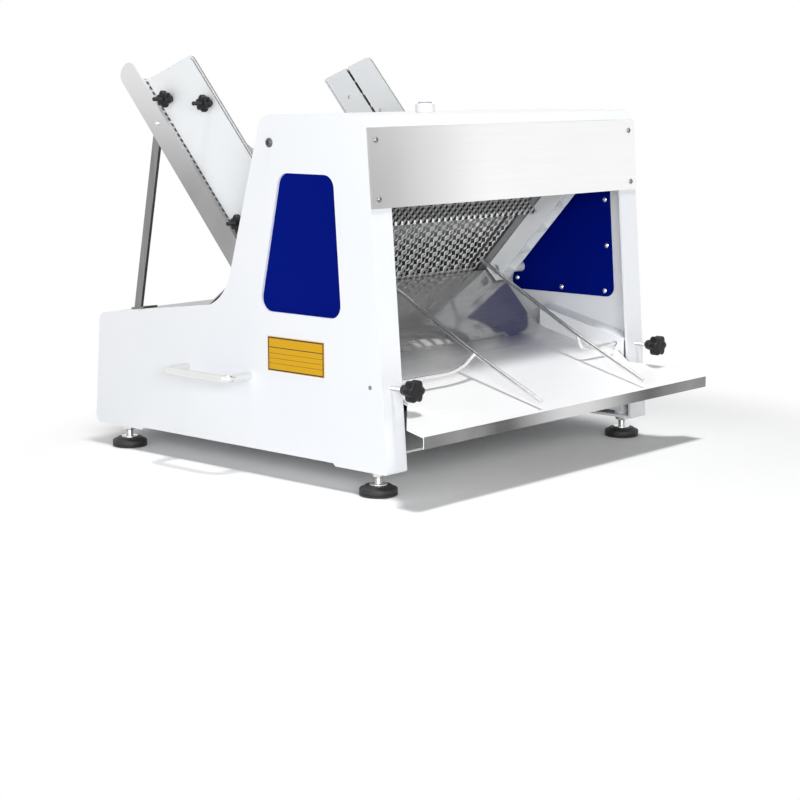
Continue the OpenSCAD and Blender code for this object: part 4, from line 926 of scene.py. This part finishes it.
bm = bmesh.new()
bmesh.ops.create_grid(bm, x_segments=1, y_segments=1, size=FLOOR_SIZE)
floor_mesh = bpy.data.meshes.new("studio_floor")
bm.to_mesh(floor_mesh)
bm.free()
floor = bpy.data.objects.new("studio_floor", floor_mesh)
scene.collection.objects.link(floor)
floor_mat, tree, shader = blank("studio_floor")
shader.inputs["Base Color"].default_value = (*grey(0.92), 1)
shader.inputs["Roughness"].default_value = 0.9
shader.inputs["Specular IOR Level"].default_value = 0.0
shift = node(tree, "ShaderNodeVectorMath", operation="SUBTRACT")
shift.inputs[1].default_value = SHADOW_CENTRE
away = node(tree, "ShaderNodeVectorMath", operation="LENGTH")
paper = node(tree, "ShaderNodeEmission", Strength=1.0)
blend = node(tree, "ShaderNodeMixShader")
tree.links.new(object_place(tree), shift.inputs[0])
tree.links.new(shift.outputs["Vector"], away.inputs[0])
fade = ramp(tree, away.outputs["Value"], PAPER_START, PAPER_END, interpolation="SMOOTHSTEP")
tree.links.new(fade, blend.inputs["Fac"])
tree.links.new(shader.outputs["BSDF"], blend.inputs[1])
tree.links.new(paper.outputs["Emission"], blend.inputs[2])
tree.links.new(blend.outputs["Shader"], tree.nodes["Material Output"].inputs["Surface"])
floor_mesh.materials.append(floor_mat)

# World: white where the camera, a reflection or glass sees it, and a weak dome for the light
DOME_STRENGTH = 0.16
DOME_COLOUR = (0.96, 0.98, 1.0, 1)

world = bpy.data.worlds.new("studio")
scene.world = world
world.use_nodes = True
tree = world.node_tree
tree.nodes.clear()
out = node(tree, "ShaderNodeOutputWorld")
dome = node(tree, "ShaderNodeBackground", Color=DOME_COLOUR, Strength=DOME_STRENGTH)
white = node(tree, "ShaderNodeBackground", Color=(1, 1, 1, 1), Strength=1.0)
rays = node(tree, "ShaderNodeLightPath").outputs
mix = node(tree, "ShaderNodeMixShader")
mirrored = calc(tree, "MAXIMUM", rays["Is Glossy Ray"], rays["Is Transmission Ray"])
tree.links.new(calc(tree, "MAXIMUM", rays["Is Camera Ray"], mirrored), mix.inputs["Fac"])
tree.links.new(dome.outputs["Background"], mix.inputs[1])
tree.links.new(white.outputs["Background"], mix.inputs[2])
tree.links.new(mix.outputs["Shader"], out.inputs["Surface"])


# Lamps
def softbox(name, place, aim, size, power):
    light = bpy.data.lights.new(name, "AREA")
    light.shape = "RECTANGLE"
    light.size, light.size_y = size
    light.energy = power
    obj = bpy.data.objects.new(name, light)
    obj.location = place
    obj.rotation_euler = (Vector(aim) - Vector(place)).to_track_quat("-Z", "Y").to_euler()
    scene.collection.objects.link(obj)


softbox("top_box", place=(-0.5, -1.2, 5.8), aim=(0, -0.05, 0), size=(0.9, 0.9), power=240)
softbox("left_box", place=(-2.7, -0.9, 0.85), aim=(0, 0, 0.25), size=(1.6, 1.4), power=20)
softbox("front_box", place=(-1.9, -2.3, 0.8), aim=(0.1, -0.1, 0.22), size=(1.2, 0.8), power=36)

# Camera at the photograph's viewing angle, in degrees below level and to the right of straight on
CAMERA_PLACE = at(-2086.0, -1651.7, 553.9)
CAMERA_DOWN = 9.86
CAMERA_RIGHT = 48.27

camera_data = bpy.data.cameras.new("photo_view")
camera_data.sensor_width = 36.0
camera_data.lens = 83.84
camera_data.clip_end = 100.0
camera = bpy.data.objects.new("photo_view", camera_data)
camera.location = CAMERA_PLACE
camera.rotation_euler = (math.radians(90 - CAMERA_DOWN), 0.0, math.radians(-CAMERA_RIGHT))
scene.collection.objects.link(camera)
scene.camera = camera
